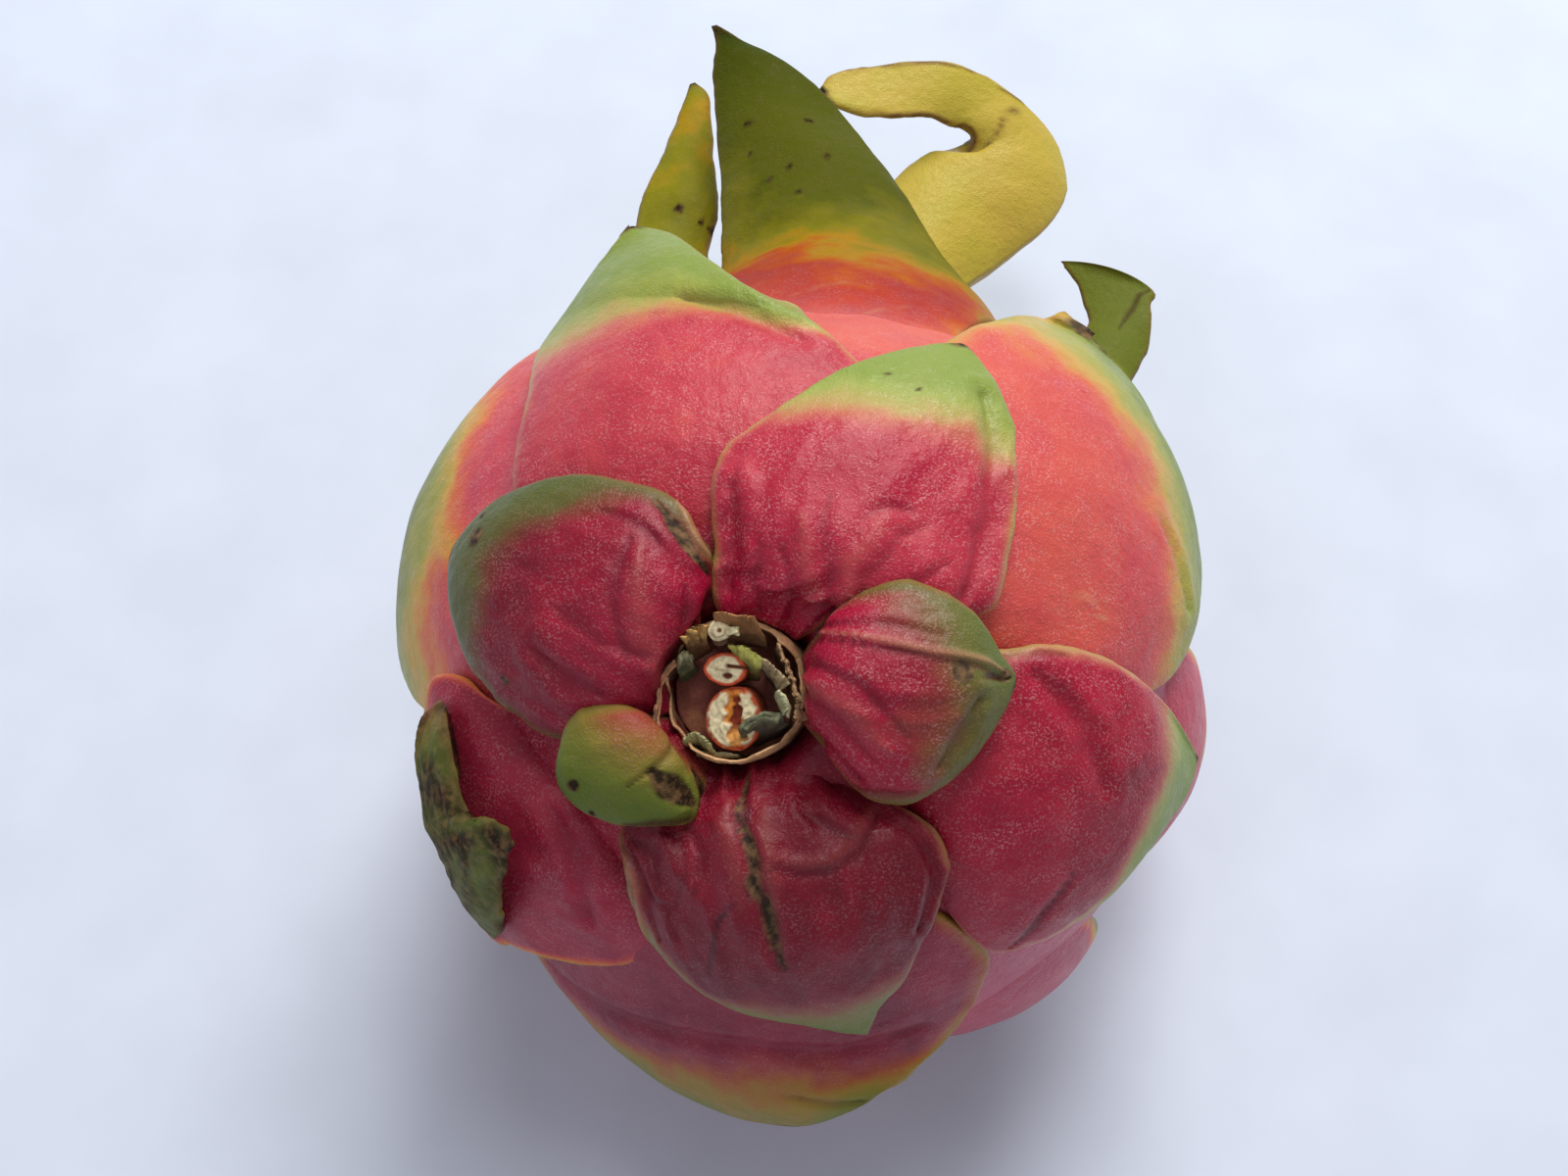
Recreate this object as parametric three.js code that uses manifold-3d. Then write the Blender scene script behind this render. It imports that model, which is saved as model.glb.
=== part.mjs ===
// A dragon fruit, picked, lying on its blossom side with its stem end up and to the front.
// Millimetres, +Z up. The origin is in the middle of the small flat spot it rests on.

import * as THREE from 'three';
import { mergeVertices } from 'three/addons/utils/BufferGeometryUtils.js';
import Module from 'manifold-3d';

const wasm = await Module();
wasm.setup();

// The body: an egg-like round, measured along and across its own axis
const HALF_LENGTH = 54;
const GIRTH_RADIUS = 48;
const BODY_SIDES = 44;
const BODY_RINGS = 28;

// How it lies: its axis leans from upright and is then turned about the vertical,
// and the skin is pressed flat by this much where it rests
const LEAN = 31.2;
const TURN = -18.1;
const REST_SINK = 2;

// The hollow round the stem end and the one at the blossom end, as depth and spread
const STEM_HOLLOW = { depth: 6.5, spread: 8.5 };
const BLOSSOM_HOLLOW = { depth: 4, spread: 9 };

// The stem end: a ragged dry cup round the cut core, standing in a round socket
const CUP_RADIUS = 7.5;
const CUP_WALL = 1.1;
const CUP_FLOOR = 42.5;
const CUP_BASE = 1.6;
const CUP_RIM = 52.6;
const CUP_TEETH = 9;
const SOCKET_GAP = 0.3;

// Scales: thickness at the free rim, extra flesh at the root, and steps along and across
const RIM_THICKNESS = 1.1;
const ROOT_FLESH = 10;
const STEPS_ALONG = 11;
const STEPS_ACROSS = 6;

const FRUIT_PINK = '#c8405c';
const STEM_TAN = '#a58458';

// Each scale is given in rows from its root to its tip. A row holds its left and its right edge,
// each as angle down from the stem end, angle round the axis and height over the skin,
// and last how far the middle swells between them.
const SCALES = {
  back_ring: [
    [8, 118, -7, 9, 60, -7, 0], [11.5, 124, -1.6, 13, 52, -1.6, 0.6], [15.5, 120, 0.5, 19.5, 50, 0.5, 2],
    [18, 115.5, 1.8, 26, 38.5, 2, 3.6], [24, 114, 4.2, 32.5, 33, 3.8, 3.2],
    [29, 110.5, 5, 36.5, 41.5, 5, 2.6], [34, 100, 5.5, 41.5, 51, 6, 2.2],
    [40.5, 91.5, 6, 46.5, 59, 6.5, 1.6], [46.5, 84, 6.5, 50, 66, 7, 1], [50.5, 79, 7, 52, 71, 7.3, 0.4],
    [53, 75, 7.6, 53, 74.5, 7.6, 0]],
  left_ring: [
    [9, -150, -7, 9, -222, -7, 0], [13, -142, -1.6, 13, -228, -1.6, 0.6],
    [17.5, -141, 0.6, 17.5, -244, 0.6, 2.6], [21, -145.5, 3, 19, -242, 3.4, 4.2],
    [24.5, -151, 4.5, 24, -236.5, 5, 4], [28, -158, 5.5, 28, -226.5, 6, 3.4],
    [31, -164.5, 6.5, 32.5, -217, 6.5, 2.8], [34.5, -171, 7, 36, -208.5, 7, 2.2],
    [37.5, -178, 7.2, 39.5, -200.5, 7, 1.4], [40.5, -184, 7.2, 41, -193.5, 7, 0.6],
    [41.5, -188.5, 7, 41.5, -188.5, 7, 0]],
  right_ring: [
    [9, 48, -7, 9, -14, -7, 0], [12, 52, -1.4, 12, -18, -1.4, 0.8], [16.5, 55, 1.2, 14.5, -19, 1.2, 2.8],
    [19, 54, 4.5, 16.5, -21, 3, 5.5], [22.5, 50, 6.5, 20, -23, 4.5, 5],
    [25, 43.5, 7.5, 23.5, -17, 6, 4.2], [27.5, 36.5, 8, 26, -7, 7, 3.2], [29, 30.5, 8, 28, 1.5, 7.5, 2],
    [30, 24.5, 8, 29.5, 9, 8, 1], [31, 21, 8, 31, 15.5, 8, 0.3], [31.5, 18, 7.5, 31.5, 17.5, 7.5, 0]],
  small_ring: [
    [12, -98, -7, 11, -146, -7, 0], [13.5, -92, -2.4, 12, -150, -2, 0.4],
    [15.5, -89, 1.2, 13.5, -156, 2.5, 1.6], [16.5, -93, 4, 12.5, -160, 5.2, 2.2],
    [18, -104, 5.2, 16, -159.5, 6.4, 2.2], [20, -113.5, 5.8, 18.5, -155.5, 6.6, 1.8],
    [21.5, -122, 6.2, 20, -148.5, 7, 1.3], [22.5, -129, 6.2, 22, -141.5, 6.5, 0.5],
    [23, -135, 6, 23, -135.5, 6, 0]],
  front_ring: [
    [10.5, -50, -7, 11, -98, -7, 0], [14, -33, -2.4, 13.5, -103, -2.4, 0.7],
    [19.5, -25, -0.8, 19, -112, -0.8, 2.2], [25.5, -19.5, 1, 25, -116.5, 0.5, 3.6],
    [30, -19.5, 3, 27, -110, 2.5, 3.6], [33.5, -24.5, 4.5, 31.5, -101.5, 3.8, 3.4],
    [36, -32, 5, 35.5, -94, 4.4, 3], [39, -39.5, 5, 39.5, -85.5, 4.8, 2.4],
    [42.5, -46, 5, 42.5, -77, 5, 1.6], [45, -51.5, 5, 45.5, -67, 5, 0.8],
    [48, -55, 5, 49, -61, 4.9, 0.2], [51.5, -57.5, 4.7, 51.5, -57.5, 4.7, 0]],
  upper_left: [
    [28.5, 165, -3, 22, 80, -3, 0], [38, 164.5, 0, 32.5, 77, 0, 0.8], [45, 158, 3, 42, 79, 1, 1.2],
    [50, 152.5, 4, 47, 85.5, 2, 1.6], [57.5, 146.5, 5, 50, 91, 3, 1.8], [73.5, 143, 6, 52, 98.5, 5, 1.6],
    [73.5, 138, 7.5, 54, 106.5, 7, 1.4], [74, 133.5, 9.5, 61, 114, 9, 1],
    [74, 129.5, 11.5, 71, 120, 11, 0.5], [74.5, 127, 12.8, 75, 123.5, 12.5, 0.2],
    [74.5, 125.5, 13.5, 74.5, 125.5, 13.5, 0]],
  upper_right: [
    [19, 64.5, -3, 35.5, 18.5, -3, 0], [29, 72.5, 0, 47.5, 12, 0, 0.6], [39, 78, 0.6, 68, 15, 0.8, 1.2],
    [50, 79.5, 1.4, 78, 23, 2.5, 1.6], [60, 79.5, 2.6, 88, 33, 4, 1.9], [67, 77.5, 3.8, 87, 42, 5, 1.8],
    [73.5, 75, 5, 86, 48.5, 6, 1.5], [85, 72.5, 6, 85.5, 54, 7, 1.1],
    [84.5, 69.5, 7, 85, 59.5, 7.5, 0.6], [84.5, 67, 7.5, 84.5, 63.5, 7.8, 0.2],
    [84.5, 65, 8, 84.5, 65, 8, 0]],
  right_lower: [
    [17, 22, -3, 32, -26.5, -3, 0], [22, 26.5, 0, 42.5, -34, 0, 1.5], [27.5, 26, 2, 53, -34.5, 1.5, 2.4],
    [33, 25, 3.6, 56, -29, 3, 2.8], [38.5, 24.5, 4.6, 58.5, -22.5, 4, 2.8],
    [43.5, 22.5, 5.2, 59.5, -16, 5, 2.4], [49, 19, 5.6, 61, -9.5, 5.5, 1.9],
    [54.5, 15, 5.7, 63.5, -4.5, 5.6, 1.2], [60.5, 10.5, 5.6, 67, 0, 5.6, 0.5],
    [68, 5.5, 5.5, 68.5, 5.5, 5.5, 0]],
  front_lower: [
    [35, -41, -3, 31, -93.5, -3, 0], [42, -35, 0, 37.5, -109, 0, 0.4],
    [55.5, -35, 0.6, 51.5, -116, 0.6, 0.7], [62.5, -42, 1.6, 70.5, -116.5, 1.8, 0.8],
    [65.5, -48, 3, 70.5, -108.5, 3.4, 0.8], [65, -53.5, 5, 71, -100, 5.2, 0.8],
    [64, -59, 7, 72, -91, 7, 0.7], [65.5, -64.5, 8.4, 73, -82.5, 8.4, 0.4],
    [70, -73, 9.2, 70, -73, 9.2, 0]],
  left_lower: [
    [31.5, -96, -3, 32, -153.5, -3, 0], [38.5, -91.5, 0, 38.5, -161, 0, 1.2],
    [45.5, -98.5, 1, 44, -166, 2, 2], [50, -105, 2, 49, -165.5, 3.5, 2.2], [52, -110, 3, 51, -159, 4, 2],
    [53, -113.5, 3.8, 52, -151.5, 4.5, 1.7], [55.5, -117, 4.2, 54.5, -145, 4.8, 1.3],
    [57, -119, 4.6, 56, -137.5, 5, 0.8], [58, -120, 5, 59, -130, 5, 0.3],
    [60.5, -122, 5, 60, -122, 5, 0]],
  left_curl: [
    [41.5, -161, 5.2, 44, -162, 4.6, 0], [39.5, -156.5, 6.2, 48, -157.5, 4.8, 0.6],
    [38, -150.5, 7, 50.5, -151.5, 5, 1], [38, -140.5, 7.6, 52, -146, 5.2, 1.3],
    [34, -138, 8.4, 53, -141.5, 5.4, 1.5], [29.5, -132, 9, 53.5, -137, 5.6, 1.6],
    [33, -127.5, 8.8, 54.5, -133, 5.6, 1.4], [39, -123.5, 8.2, 55.5, -129, 5.6, 1],
    [46.5, -121.5, 7, 57, -125, 5.4, 0.5], [58, -121.5, 5.2, 58, -122, 5.2, 0]],
  left_upper: [
    [34, 200, -3, 34, 160, -3, 0], [48, 203, 0, 46, 150, 0, 0.6], [60, 202, 1.2, 58, 143, 1, 1],
    [70, 198, 3, 68, 139, 2.6, 1.2], [77, 192, 5, 76, 138, 4.2, 1.2], [83, 184, 6.4, 82, 141, 5.6, 1],
    [87, 176, 7.3, 86.5, 149, 6.8, 0.6], [89, 170, 7.7, 89, 157, 7.5, 0.2],
    [90, 164, 7.8, 90, 163, 7.8, 0]],
  crown_tall: [
    [70, 122, -3, 70, 78, -3, 0], [84, 124, 0, 84, 80, 0, 0.5], [106, 122.5, 9.9, 114.5, 80, 9.5, 2.2],
    [111, 121.5, 19.2, 116, 91, 17.7, 3], [113, 120.5, 29.6, 116, 98.5, 27.9, 3],
    [114, 120, 39, 116, 104.5, 37.7, 2.4], [114.5, 119.5, 47.4, 115.5, 108.5, 45.4, 1.7],
    [114.5, 119, 53, 115, 112.5, 51.6, 1], [114.5, 118.5, 56.9, 115, 115.5, 55.7, 0.3],
    [114, 118.5, 58.9, 114, 118, 58.9, 0]],
  crown_yellow: [
    [96, 146, -3, 96, 122, -3, 0], [108, 144, 3, 108, 124, 3, 0.6],
    [115.5, 135, 25.1, 118.5, 125, 17, 1], [118, 132, 35, 120.5, 125, 26.8, 1.4],
    [119, 129.5, 41.9, 120.5, 122.5, 33.6, 1.4], [119.5, 127, 47.1, 121, 122, 40.7, 1.2],
    [120, 125, 52.4, 121, 121.5, 49.3, 0.8], [120, 123.5, 56.3, 120.5, 121, 56.1, 0.3],
    [120, 122.5, 59.3, 120, 122, 59.2, 0]],
  crown_strap: [
    [113, 90, -3, 113, 112, -3, 0], [135.5, 98, 15, 131.5, 110, 28, 0.5],
    [135.5, 94.5, 26.8, 131, 105.5, 39.8, 0.8], [135, 89, 38.1, 130, 101.5, 48.6, 1],
    [133.5, 85, 47.2, 129, 98.5, 52.6, 1], [132.5, 84, 54, 128, 96, 54.1, 0.8],
    [131.5, 85, 57.9, 127.5, 95.5, 54.2, 0.5], [130, 87, 61.6, 127, 95, 54.2, 0.2],
    [127.5, 90.5, 63.4, 126.5, 95.5, 54.1, 0], [125, 94, 63.3, 126, 97, 53.8, 0],
    [123, 98.5, 61.7, 124.5, 99, 52.6, 0], [122, 104, 58.8, 123.5, 102, 50.7, 0],
    [121, 108.5, 55.8, 122.5, 105.5, 49.2, 0], [121, 110, 53, 121, 109.5, 50, 0]],
  crown_hook: [
    [106, 66, -3, 106, 44, -3, 0], [113, 67, 4, 113, 48, 4, 0.6], [127, 70.5, 20, 125, 59, 19.2, 0.8],
    [128.5, 71.5, 28.8, 127, 62, 28.7, 0.6], [129, 74, 32.7, 126.5, 64.5, 34, 0],
    [129, 76, 35.2, 126.5, 66.5, 37.4, -0.5], [129, 78, 36.8, 126.5, 68, 39.4, -0.8],
    [129, 79.5, 38, 129, 79.5, 38, 0]],
  under_right: [
    [74.5, -25, -2, 76.5, -64.5, -2, 0], [88, -24.5, 0, 92, -63.5, 0, 2],
    [99.5, -28, 2.6, 104, -56, 2.6, 1.9], [109, -39, 5.5, 109, -41, 5.5, 0]],
  behind_right: [
    [68, 19, -2, 69.5, -15, -2, 0], [81, 21, -0.8, 83.5, -15, -0.8, 2],
    [93, 18.5, 1.1, 95, -10.5, 1.1, 1.9], [103, 6, 4.5, 103, 4, 4.5, 0]],
  under_left: [
    [84, -133, -2, 84, -167, -2, 0], [97, -132.5, 0, 98, -167.5, 0, 2],
    [108.5, -135.5, 2.4, 110.5, -163, 2.4, 1.6], [119, -147, 5, 119, -149, 5, 0]],
  crown_left: [
    [92, 182.5, -2, 92, 153.5, -2, 0], [108, 183, 0.6, 107, 153, 0.6, 1.9],
    [121.5, 179, 6.9, 119.5, 155.5, 6.9, 1.1], [131, 172, 15.6, 128.5, 158.5, 15.6, 0.4],
    [134, 164, 22, 134, 162, 22, 0]],
  crown_right: [
    [97.5, 36.5, -2, 98.5, 11.5, -2, 0], [113, 39, 1.5, 114, 11, 1.5, 1.5],
    [124.5, 37, 8.1, 126.5, 15, 8.1, 0.9], [133, 34, 15.7, 135, 22, 15.7, 0.3],
    [138, 31, 21, 138, 29, 21, 0]],
  blossom_left: [
    [131.5, 153, -2, 131.5, 127, -2, 0], [145.5, 157, 1.2, 144.5, 123.5, 1.2, 0.8],
    [155.5, 152, 8.6, 153.5, 125, 8.6, 0.4], [158, 136.5, 17, 158, 133.5, 17, 0]],
  blossom_right: [
    [131.5, 75, -2, 131.5, 49, -2, 0], [144.5, 78.5, 1.2, 145.5, 45, 1.2, 0.8],
    [153.5, 77, 8.6, 155.5, 50, 8.6, 0.4], [158, 68.5, 17, 158, 65.5, 17, 0]],
};

const radians = (degrees) => THREE.MathUtils.degToRad(degrees);

// A place over the body's plain round: polar angle, angle round the axis, height over the skin
function overBody(polar, around, height) {
  const across = Math.sin(radians(polar));
  const along = Math.cos(radians(polar));
  const slope = new THREE.Vector2(across / GIRTH_RADIUS, along / HALF_LENGTH).normalize();
  const radius = GIRTH_RADIUS * across + slope.x * height;
  return new THREE.Vector3(
    radius * Math.cos(radians(around)),
    radius * Math.sin(radians(around)),
    HALF_LENGTH * along + slope.y * height,
  );
}

// A row's two edges as flat places round the stem end, which mix well between rows
function flattened([leftPolar, leftAround, leftHeight, rightPolar, rightAround, rightHeight, swell]) {
  return [
    leftPolar * Math.cos(radians(leftAround)),
    leftPolar * Math.sin(radians(leftAround)),
    leftHeight,
    rightPolar * Math.cos(radians(rightAround)),
    rightPolar * Math.sin(radians(rightAround)),
    rightHeight,
    swell,
  ];
}

// Values at a place counted in rows, on one smooth curve through all rows
function between(rows, place) {
  const last = rows.length - 1;
  const i = Math.min(Math.floor(place), last - 1);
  const f = place - i;
  return rows[0].map((_, k) => {
    const b = rows[i][k];
    const c = rows[i + 1][k];
    const a = i > 0 ? rows[i - 1][k] : 2 * b - c;
    const d = i < last - 1 ? rows[i + 2][k] : 2 * c - b;
    const quadratic = (2 * a - 5 * b + 4 * c - d) * f * f;
    const cubic = (3 * b - a - 3 * c + d) * f * f * f;
    return 0.5 * (2 * b + (c - a) * f + quadratic + cubic);
  });
}

// The plain face of a scale at a place in rows from the root and v from -1, left, to 1, right
function onFace(rows, place, v) {
  const r = between(rows, place);
  const w = (v + 1) / 2;
  const x = r[0] * (1 - w) + r[3] * w;
  const y = r[1] * (1 - w) + r[4] * w;
  const height = r[2] * (1 - w) + r[5] * w;
  return overBody(Math.hypot(x, y), THREE.MathUtils.radToDeg(Math.atan2(y, x)), height);
}

function outward(rows, place, v) {
  const last = rows.length - 1;
  const at = Math.min(place, last - 0.6);
  const across = onFace(rows, at, Math.min(v + 0.1, 1)).sub(onFace(rows, at, Math.max(v - 0.1, -1)));
  const along = onFace(rows, Math.min(at + 0.3, last), v).sub(onFace(rows, Math.max(at - 0.3, 0), v));
  return across.cross(along).normalize();
}

// Root thick enough to reach into the body, thinning to the free rim
function thickness(t, v) {
  return RIM_THICKNESS + ROOT_FLESH * (1 - t) ** 1.6 * (1 - 0.5 * v * v);
}

// One closed leaf-like solid: a swollen outer face, an inner face split alike, and side walls
function scaleGeometry(scale) {
  const rows = scale.map(flattened);
  const steps = Math.max(STEPS_ALONG, rows.length);
  const places = [];
  for (const face of [0, 1]) {
    for (let i = 0; i < steps; i += 1) {
      const t = i / (steps - 1);
      const place = t * (rows.length - 1);
      const swell = between(rows, place)[6];
      for (let j = 0; j < STEPS_ACROSS; j += 1) {
        const v = (2 * j) / (STEPS_ACROSS - 1) - 1;
        const lift = swell * (1 - v * v) - face * thickness(t, v);
        places.push(onFace(rows, place, v).addScaledVector(outward(rows, place, v), lift));
      }
    }
  }
  const at = (face, i, j) => (face * steps + i) * STEPS_ACROSS + j;
  const triangles = [];
  const quad = (a, b, c, d) => triangles.push(a, b, c, a, c, d);
  for (let i = 0; i < steps - 1; i += 1) {
    for (let j = 0; j < STEPS_ACROSS - 1; j += 1) {
      quad(at(0, i, j), at(0, i, j + 1), at(0, i + 1, j + 1), at(0, i + 1, j));
      triangles.push(at(1, i, j), at(1, i + 1, j + 1), at(1, i, j + 1));
      triangles.push(at(1, i, j), at(1, i + 1, j), at(1, i + 1, j + 1));
    }
    const right = STEPS_ACROSS - 1;
    quad(at(0, i, 0), at(0, i + 1, 0), at(1, i + 1, 0), at(1, i, 0));
    quad(at(0, i, right), at(1, i, right), at(1, i + 1, right), at(0, i + 1, right));
  }
  for (let j = 0; j < STEPS_ACROSS - 1; j += 1) {
    const tip = steps - 1;
    quad(at(0, 0, j), at(1, 0, j), at(1, 0, j + 1), at(0, 0, j + 1));
    quad(at(0, tip, j), at(0, tip, j + 1), at(1, tip, j + 1), at(1, tip, j));
  }
  const geometry = new THREE.BufferGeometry();
  geometry.setAttribute('position', new THREE.Float32BufferAttribute(places.flatMap((p) => p.toArray()), 3));
  geometry.setIndex(triangles);
  return geometry;
}

// The body's skin, drawn in at the stem end and at the blossom end
function bodyGeometry() {
  const geometry = new THREE.SphereGeometry(1, BODY_SIDES, BODY_RINGS);
  geometry.rotateX(Math.PI / 2);
  const places = geometry.getAttribute('position');
  for (let i = 0; i < places.count; i += 1) {
    const across = Math.hypot(places.getX(i), places.getY(i));
    const polar = THREE.MathUtils.radToDeg(Math.atan2(across, places.getZ(i)));
    const around = THREE.MathUtils.radToDeg(Math.atan2(places.getY(i), places.getX(i)));
    const stem = STEM_HOLLOW.depth * Math.exp(-((polar / STEM_HOLLOW.spread) ** 2));
    const blossom = BLOSSOM_HOLLOW.depth * Math.exp(-(((180 - polar) / BLOSSOM_HOLLOW.spread) ** 2));
    const place = overBody(polar, around, -stem - blossom);
    places.setXYZ(i, place.x, place.y, place.z);
  }
  return geometry;
}

function asSolid(geometry) {
  const bare = geometry.clone();
  bare.deleteAttribute('normal');
  bare.deleteAttribute('uv');
  const joined = mergeVertices(bare, 1e-4);
  return new wasm.Manifold(new wasm.Mesh({
    numProp: 3,
    vertProperties: new Float32Array(joined.getAttribute('position').array),
    triVerts: new Uint32Array(joined.getIndex().array),
  }));
}

function asGeometry(solid) {
  const mesh = solid.getMesh();
  const geometry = new THREE.BufferGeometry();
  geometry.setAttribute('position', new THREE.BufferAttribute(mesh.vertProperties, 3));
  geometry.setIndex(new THREE.BufferAttribute(mesh.triVerts, 1));
  return geometry;
}

// The largest piece alone: loose scraps and sealed hollows are left out, so hollows are filled
function wholePiece(solid) {
  return solid.decompose().reduce((best, piece) => (piece.volume() > best.volume() ? piece : best));
}

function cylinderSolid(radius, low, high, sides, x = 0, y = 0) {
  const geometry = new THREE.CylinderGeometry(radius, radius, high - low, sides);
  geometry.rotateX(Math.PI / 2);
  geometry.translate(x, y, (low + high) / 2);
  return asSolid(geometry);
}

// The lowest point of the leaning body, seen from its centre
function lowestPoint() {
  const axis = new THREE.Vector3(0, 0, 1)
    .applyAxisAngle(new THREE.Vector3(1, 0, 0), radians(LEAN))
    .applyAxisAngle(new THREE.Vector3(0, 0, 1), radians(TURN));
  const stretch = HALF_LENGTH ** 2 - GIRTH_RADIUS ** 2;
  const reach = Math.sqrt(GIRTH_RADIUS ** 2 + stretch * axis.z ** 2);
  return axis.multiplyScalar(-(stretch * axis.z) / reach).add(new THREE.Vector3(0, 0, -(GIRTH_RADIUS ** 2) / reach));
}

// From the fruit's own axis to how it lies, with the flat spot's middle at the origin
function layDown(geometry) {
  const lowest = lowestPoint();
  geometry.rotateX(radians(LEAN));
  geometry.rotateZ(radians(TURN));
  geometry.translate(-lowest.x, -lowest.y, -lowest.z - REST_SINK);
  return geometry;
}

function restingSurface() {
  const depth = 100;
  const geometry = new THREE.BoxGeometry(4 * depth, 4 * depth, depth);
  geometry.translate(0, 0, -depth / 2);
  return asSolid(geometry);
}

function fruitGeometry() {
  let solid = asSolid(bodyGeometry());
  for (const scale of Object.values(SCALES)) {
    solid = solid.add(asSolid(scaleGeometry(scale)));
  }
  const sides = 32;
  const socket = cylinderSolid(CUP_RADIUS + SOCKET_GAP, CUP_FLOOR - SOCKET_GAP, HALF_LENGTH + 20, sides);
  solid = solid.subtract(socket);
  const laid = asSolid(layDown(asGeometry(wholePiece(solid))));
  return asGeometry(wholePiece(laid.subtract(restingSurface())));
}

// The dry cup: a wall whose rim rises and falls in ragged teeth
function cupSolid() {
  const sides = CUP_TEETH * 4;
  const geometry = new THREE.CylinderGeometry(CUP_RADIUS, CUP_RADIUS, 1, sides);
  geometry.rotateX(Math.PI / 2);
  const places = geometry.getAttribute('position');
  for (let i = 0; i < places.count; i += 1) {
    const around = Math.atan2(places.getY(i), places.getX(i));
    const ragged = 0.9 * Math.sin(CUP_TEETH * around) + 0.7 * Math.sin(4 * around + 1);
    places.setZ(i, places.getZ(i) > 0 ? CUP_RIM + ragged : CUP_FLOOR);
  }
  const inner = CUP_RADIUS - CUP_WALL;
  return asSolid(geometry).subtract(cylinderSolid(inner, CUP_FLOOR + CUP_BASE, CUP_RIM + 9, sides));
}

// The cut core inside the cup: three short stubs in a row, the largest at the front
function coreSolid() {
  const stubs = [
    { x: -0.6, y: -2.6, radius: 2.9, high: CUP_RIM - 1.2 },
    { x: -0.4, y: 2.2, radius: 1.9, high: CUP_RIM - 0.6 },
    { x: -0.9, y: 5.5, radius: 1.1, high: CUP_RIM + 1.0 },
  ];
  const sides = 14;
  return stubs
    .map(({ x, y, radius, high }) => cylinderSolid(radius, CUP_FLOOR + CUP_BASE - 0.5, high, sides, x, y))
    .reduce((joined, stub) => joined.add(stub));
}

function stemEndGeometry() {
  return layDown(asGeometry(wholePiece(cupSolid().add(coreSolid()))));
}

function piece(name, geometry, color, roughness) {
  const mesh = new THREE.Mesh(geometry, new THREE.MeshStandardMaterial({ color, roughness, metalness: 0 }));
  mesh.name = name;
  return mesh;
}

const group = new THREE.Group();
group.add(piece('fruit', fruitGeometry(), FRUIT_PINK, 0.45));
group.add(piece('stem_end', stemEndGeometry(), STEM_TAN, 0.9));

export default group;
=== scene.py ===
# A dragon fruit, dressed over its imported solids: every scale and the body skin as fine meshes,
# with painted rims, wrinkles, scars and a dry stem end.
import math

import bpy
import numpy as np
from mathutils import Matrix, Vector


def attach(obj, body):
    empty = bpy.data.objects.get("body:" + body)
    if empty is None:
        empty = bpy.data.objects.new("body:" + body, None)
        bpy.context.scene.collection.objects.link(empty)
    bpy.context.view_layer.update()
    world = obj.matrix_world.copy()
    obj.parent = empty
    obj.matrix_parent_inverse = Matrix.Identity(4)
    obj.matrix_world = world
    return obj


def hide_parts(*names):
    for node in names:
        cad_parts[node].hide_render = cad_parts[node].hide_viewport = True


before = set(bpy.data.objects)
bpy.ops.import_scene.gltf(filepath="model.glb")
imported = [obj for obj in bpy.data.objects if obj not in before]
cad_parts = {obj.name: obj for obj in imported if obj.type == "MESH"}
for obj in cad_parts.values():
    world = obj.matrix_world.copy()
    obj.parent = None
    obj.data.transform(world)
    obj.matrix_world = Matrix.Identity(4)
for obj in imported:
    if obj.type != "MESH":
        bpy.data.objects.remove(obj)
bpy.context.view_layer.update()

MM = 0.001

# The fruit's own measures in millimetres and degrees, as in the solids
HALF_LENGTH = 54
GIRTH_RADIUS = 48
LEAN = 31.2
TURN = -18.1
REST_SINK = 2
STEM_HOLLOW = dict(depth=6.5, spread=8.5)
BLOSSOM_HOLLOW = dict(depth=4, spread=9)

# Inside the dry cup the skin is sunk by this much between these angles down from the stem end, and
# the scales' points above this height keep this far from the cup's middle
CUP_DIG, CUP_DIG_FROM, CUP_DIG_TO = 7, 12.5, 9.4
CUP_MIDDLE = np.array([-0.2, 0])
CUP_RADIUS = 7.8
CUP_HEIGHT = 38

# Points along and across a scale: in the rings round the stem end, and elsewhere
FINE_GRID = (130, 84)
COARSE_GRID = (96, 60)

# Width in mm over which a scale's edges are rounded, and the angle round the axis of the crown
ROUND_WIDTH = 0.9
CROWN_SIDE = 100

# What a scale's look is where it says nothing else. Rows are counted from the root, widths in mm.
PLAIN_LOOK = dict(
    magenta=0,      # magenta over the root
    mauve=0,        # paler and more mauve pink
    shade=0,        # painted shade: pink darkened to maroon
    painted_shade_dim=0,          # painted shade: everything darkened, without sheen, from the root up
    soft=4,         # width of the change from pink to green
    warm=0,         # how orange that change is
    base=-9,        # the least share of green
    deep=(0, 1, 0),  # the rows over which a darker green comes in, and how much of it
    inner_from=99,  # the row from which the inner side's colour shows
    dry=0,          # how dry the whole scale is
    folds=0.05,     # height of the folds that run out from the root
    ragged=0.25,    # how far the edges wander
    rim=1.1,        # thickness at the edges
    flesh=10,       # thickness that the root has besides
)

# The look of the four scales at the crown's far sides, which the photograph hides
HIDDEN_LOOK = dict(tone=(0.85, 0.9), warm=0.9)
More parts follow.
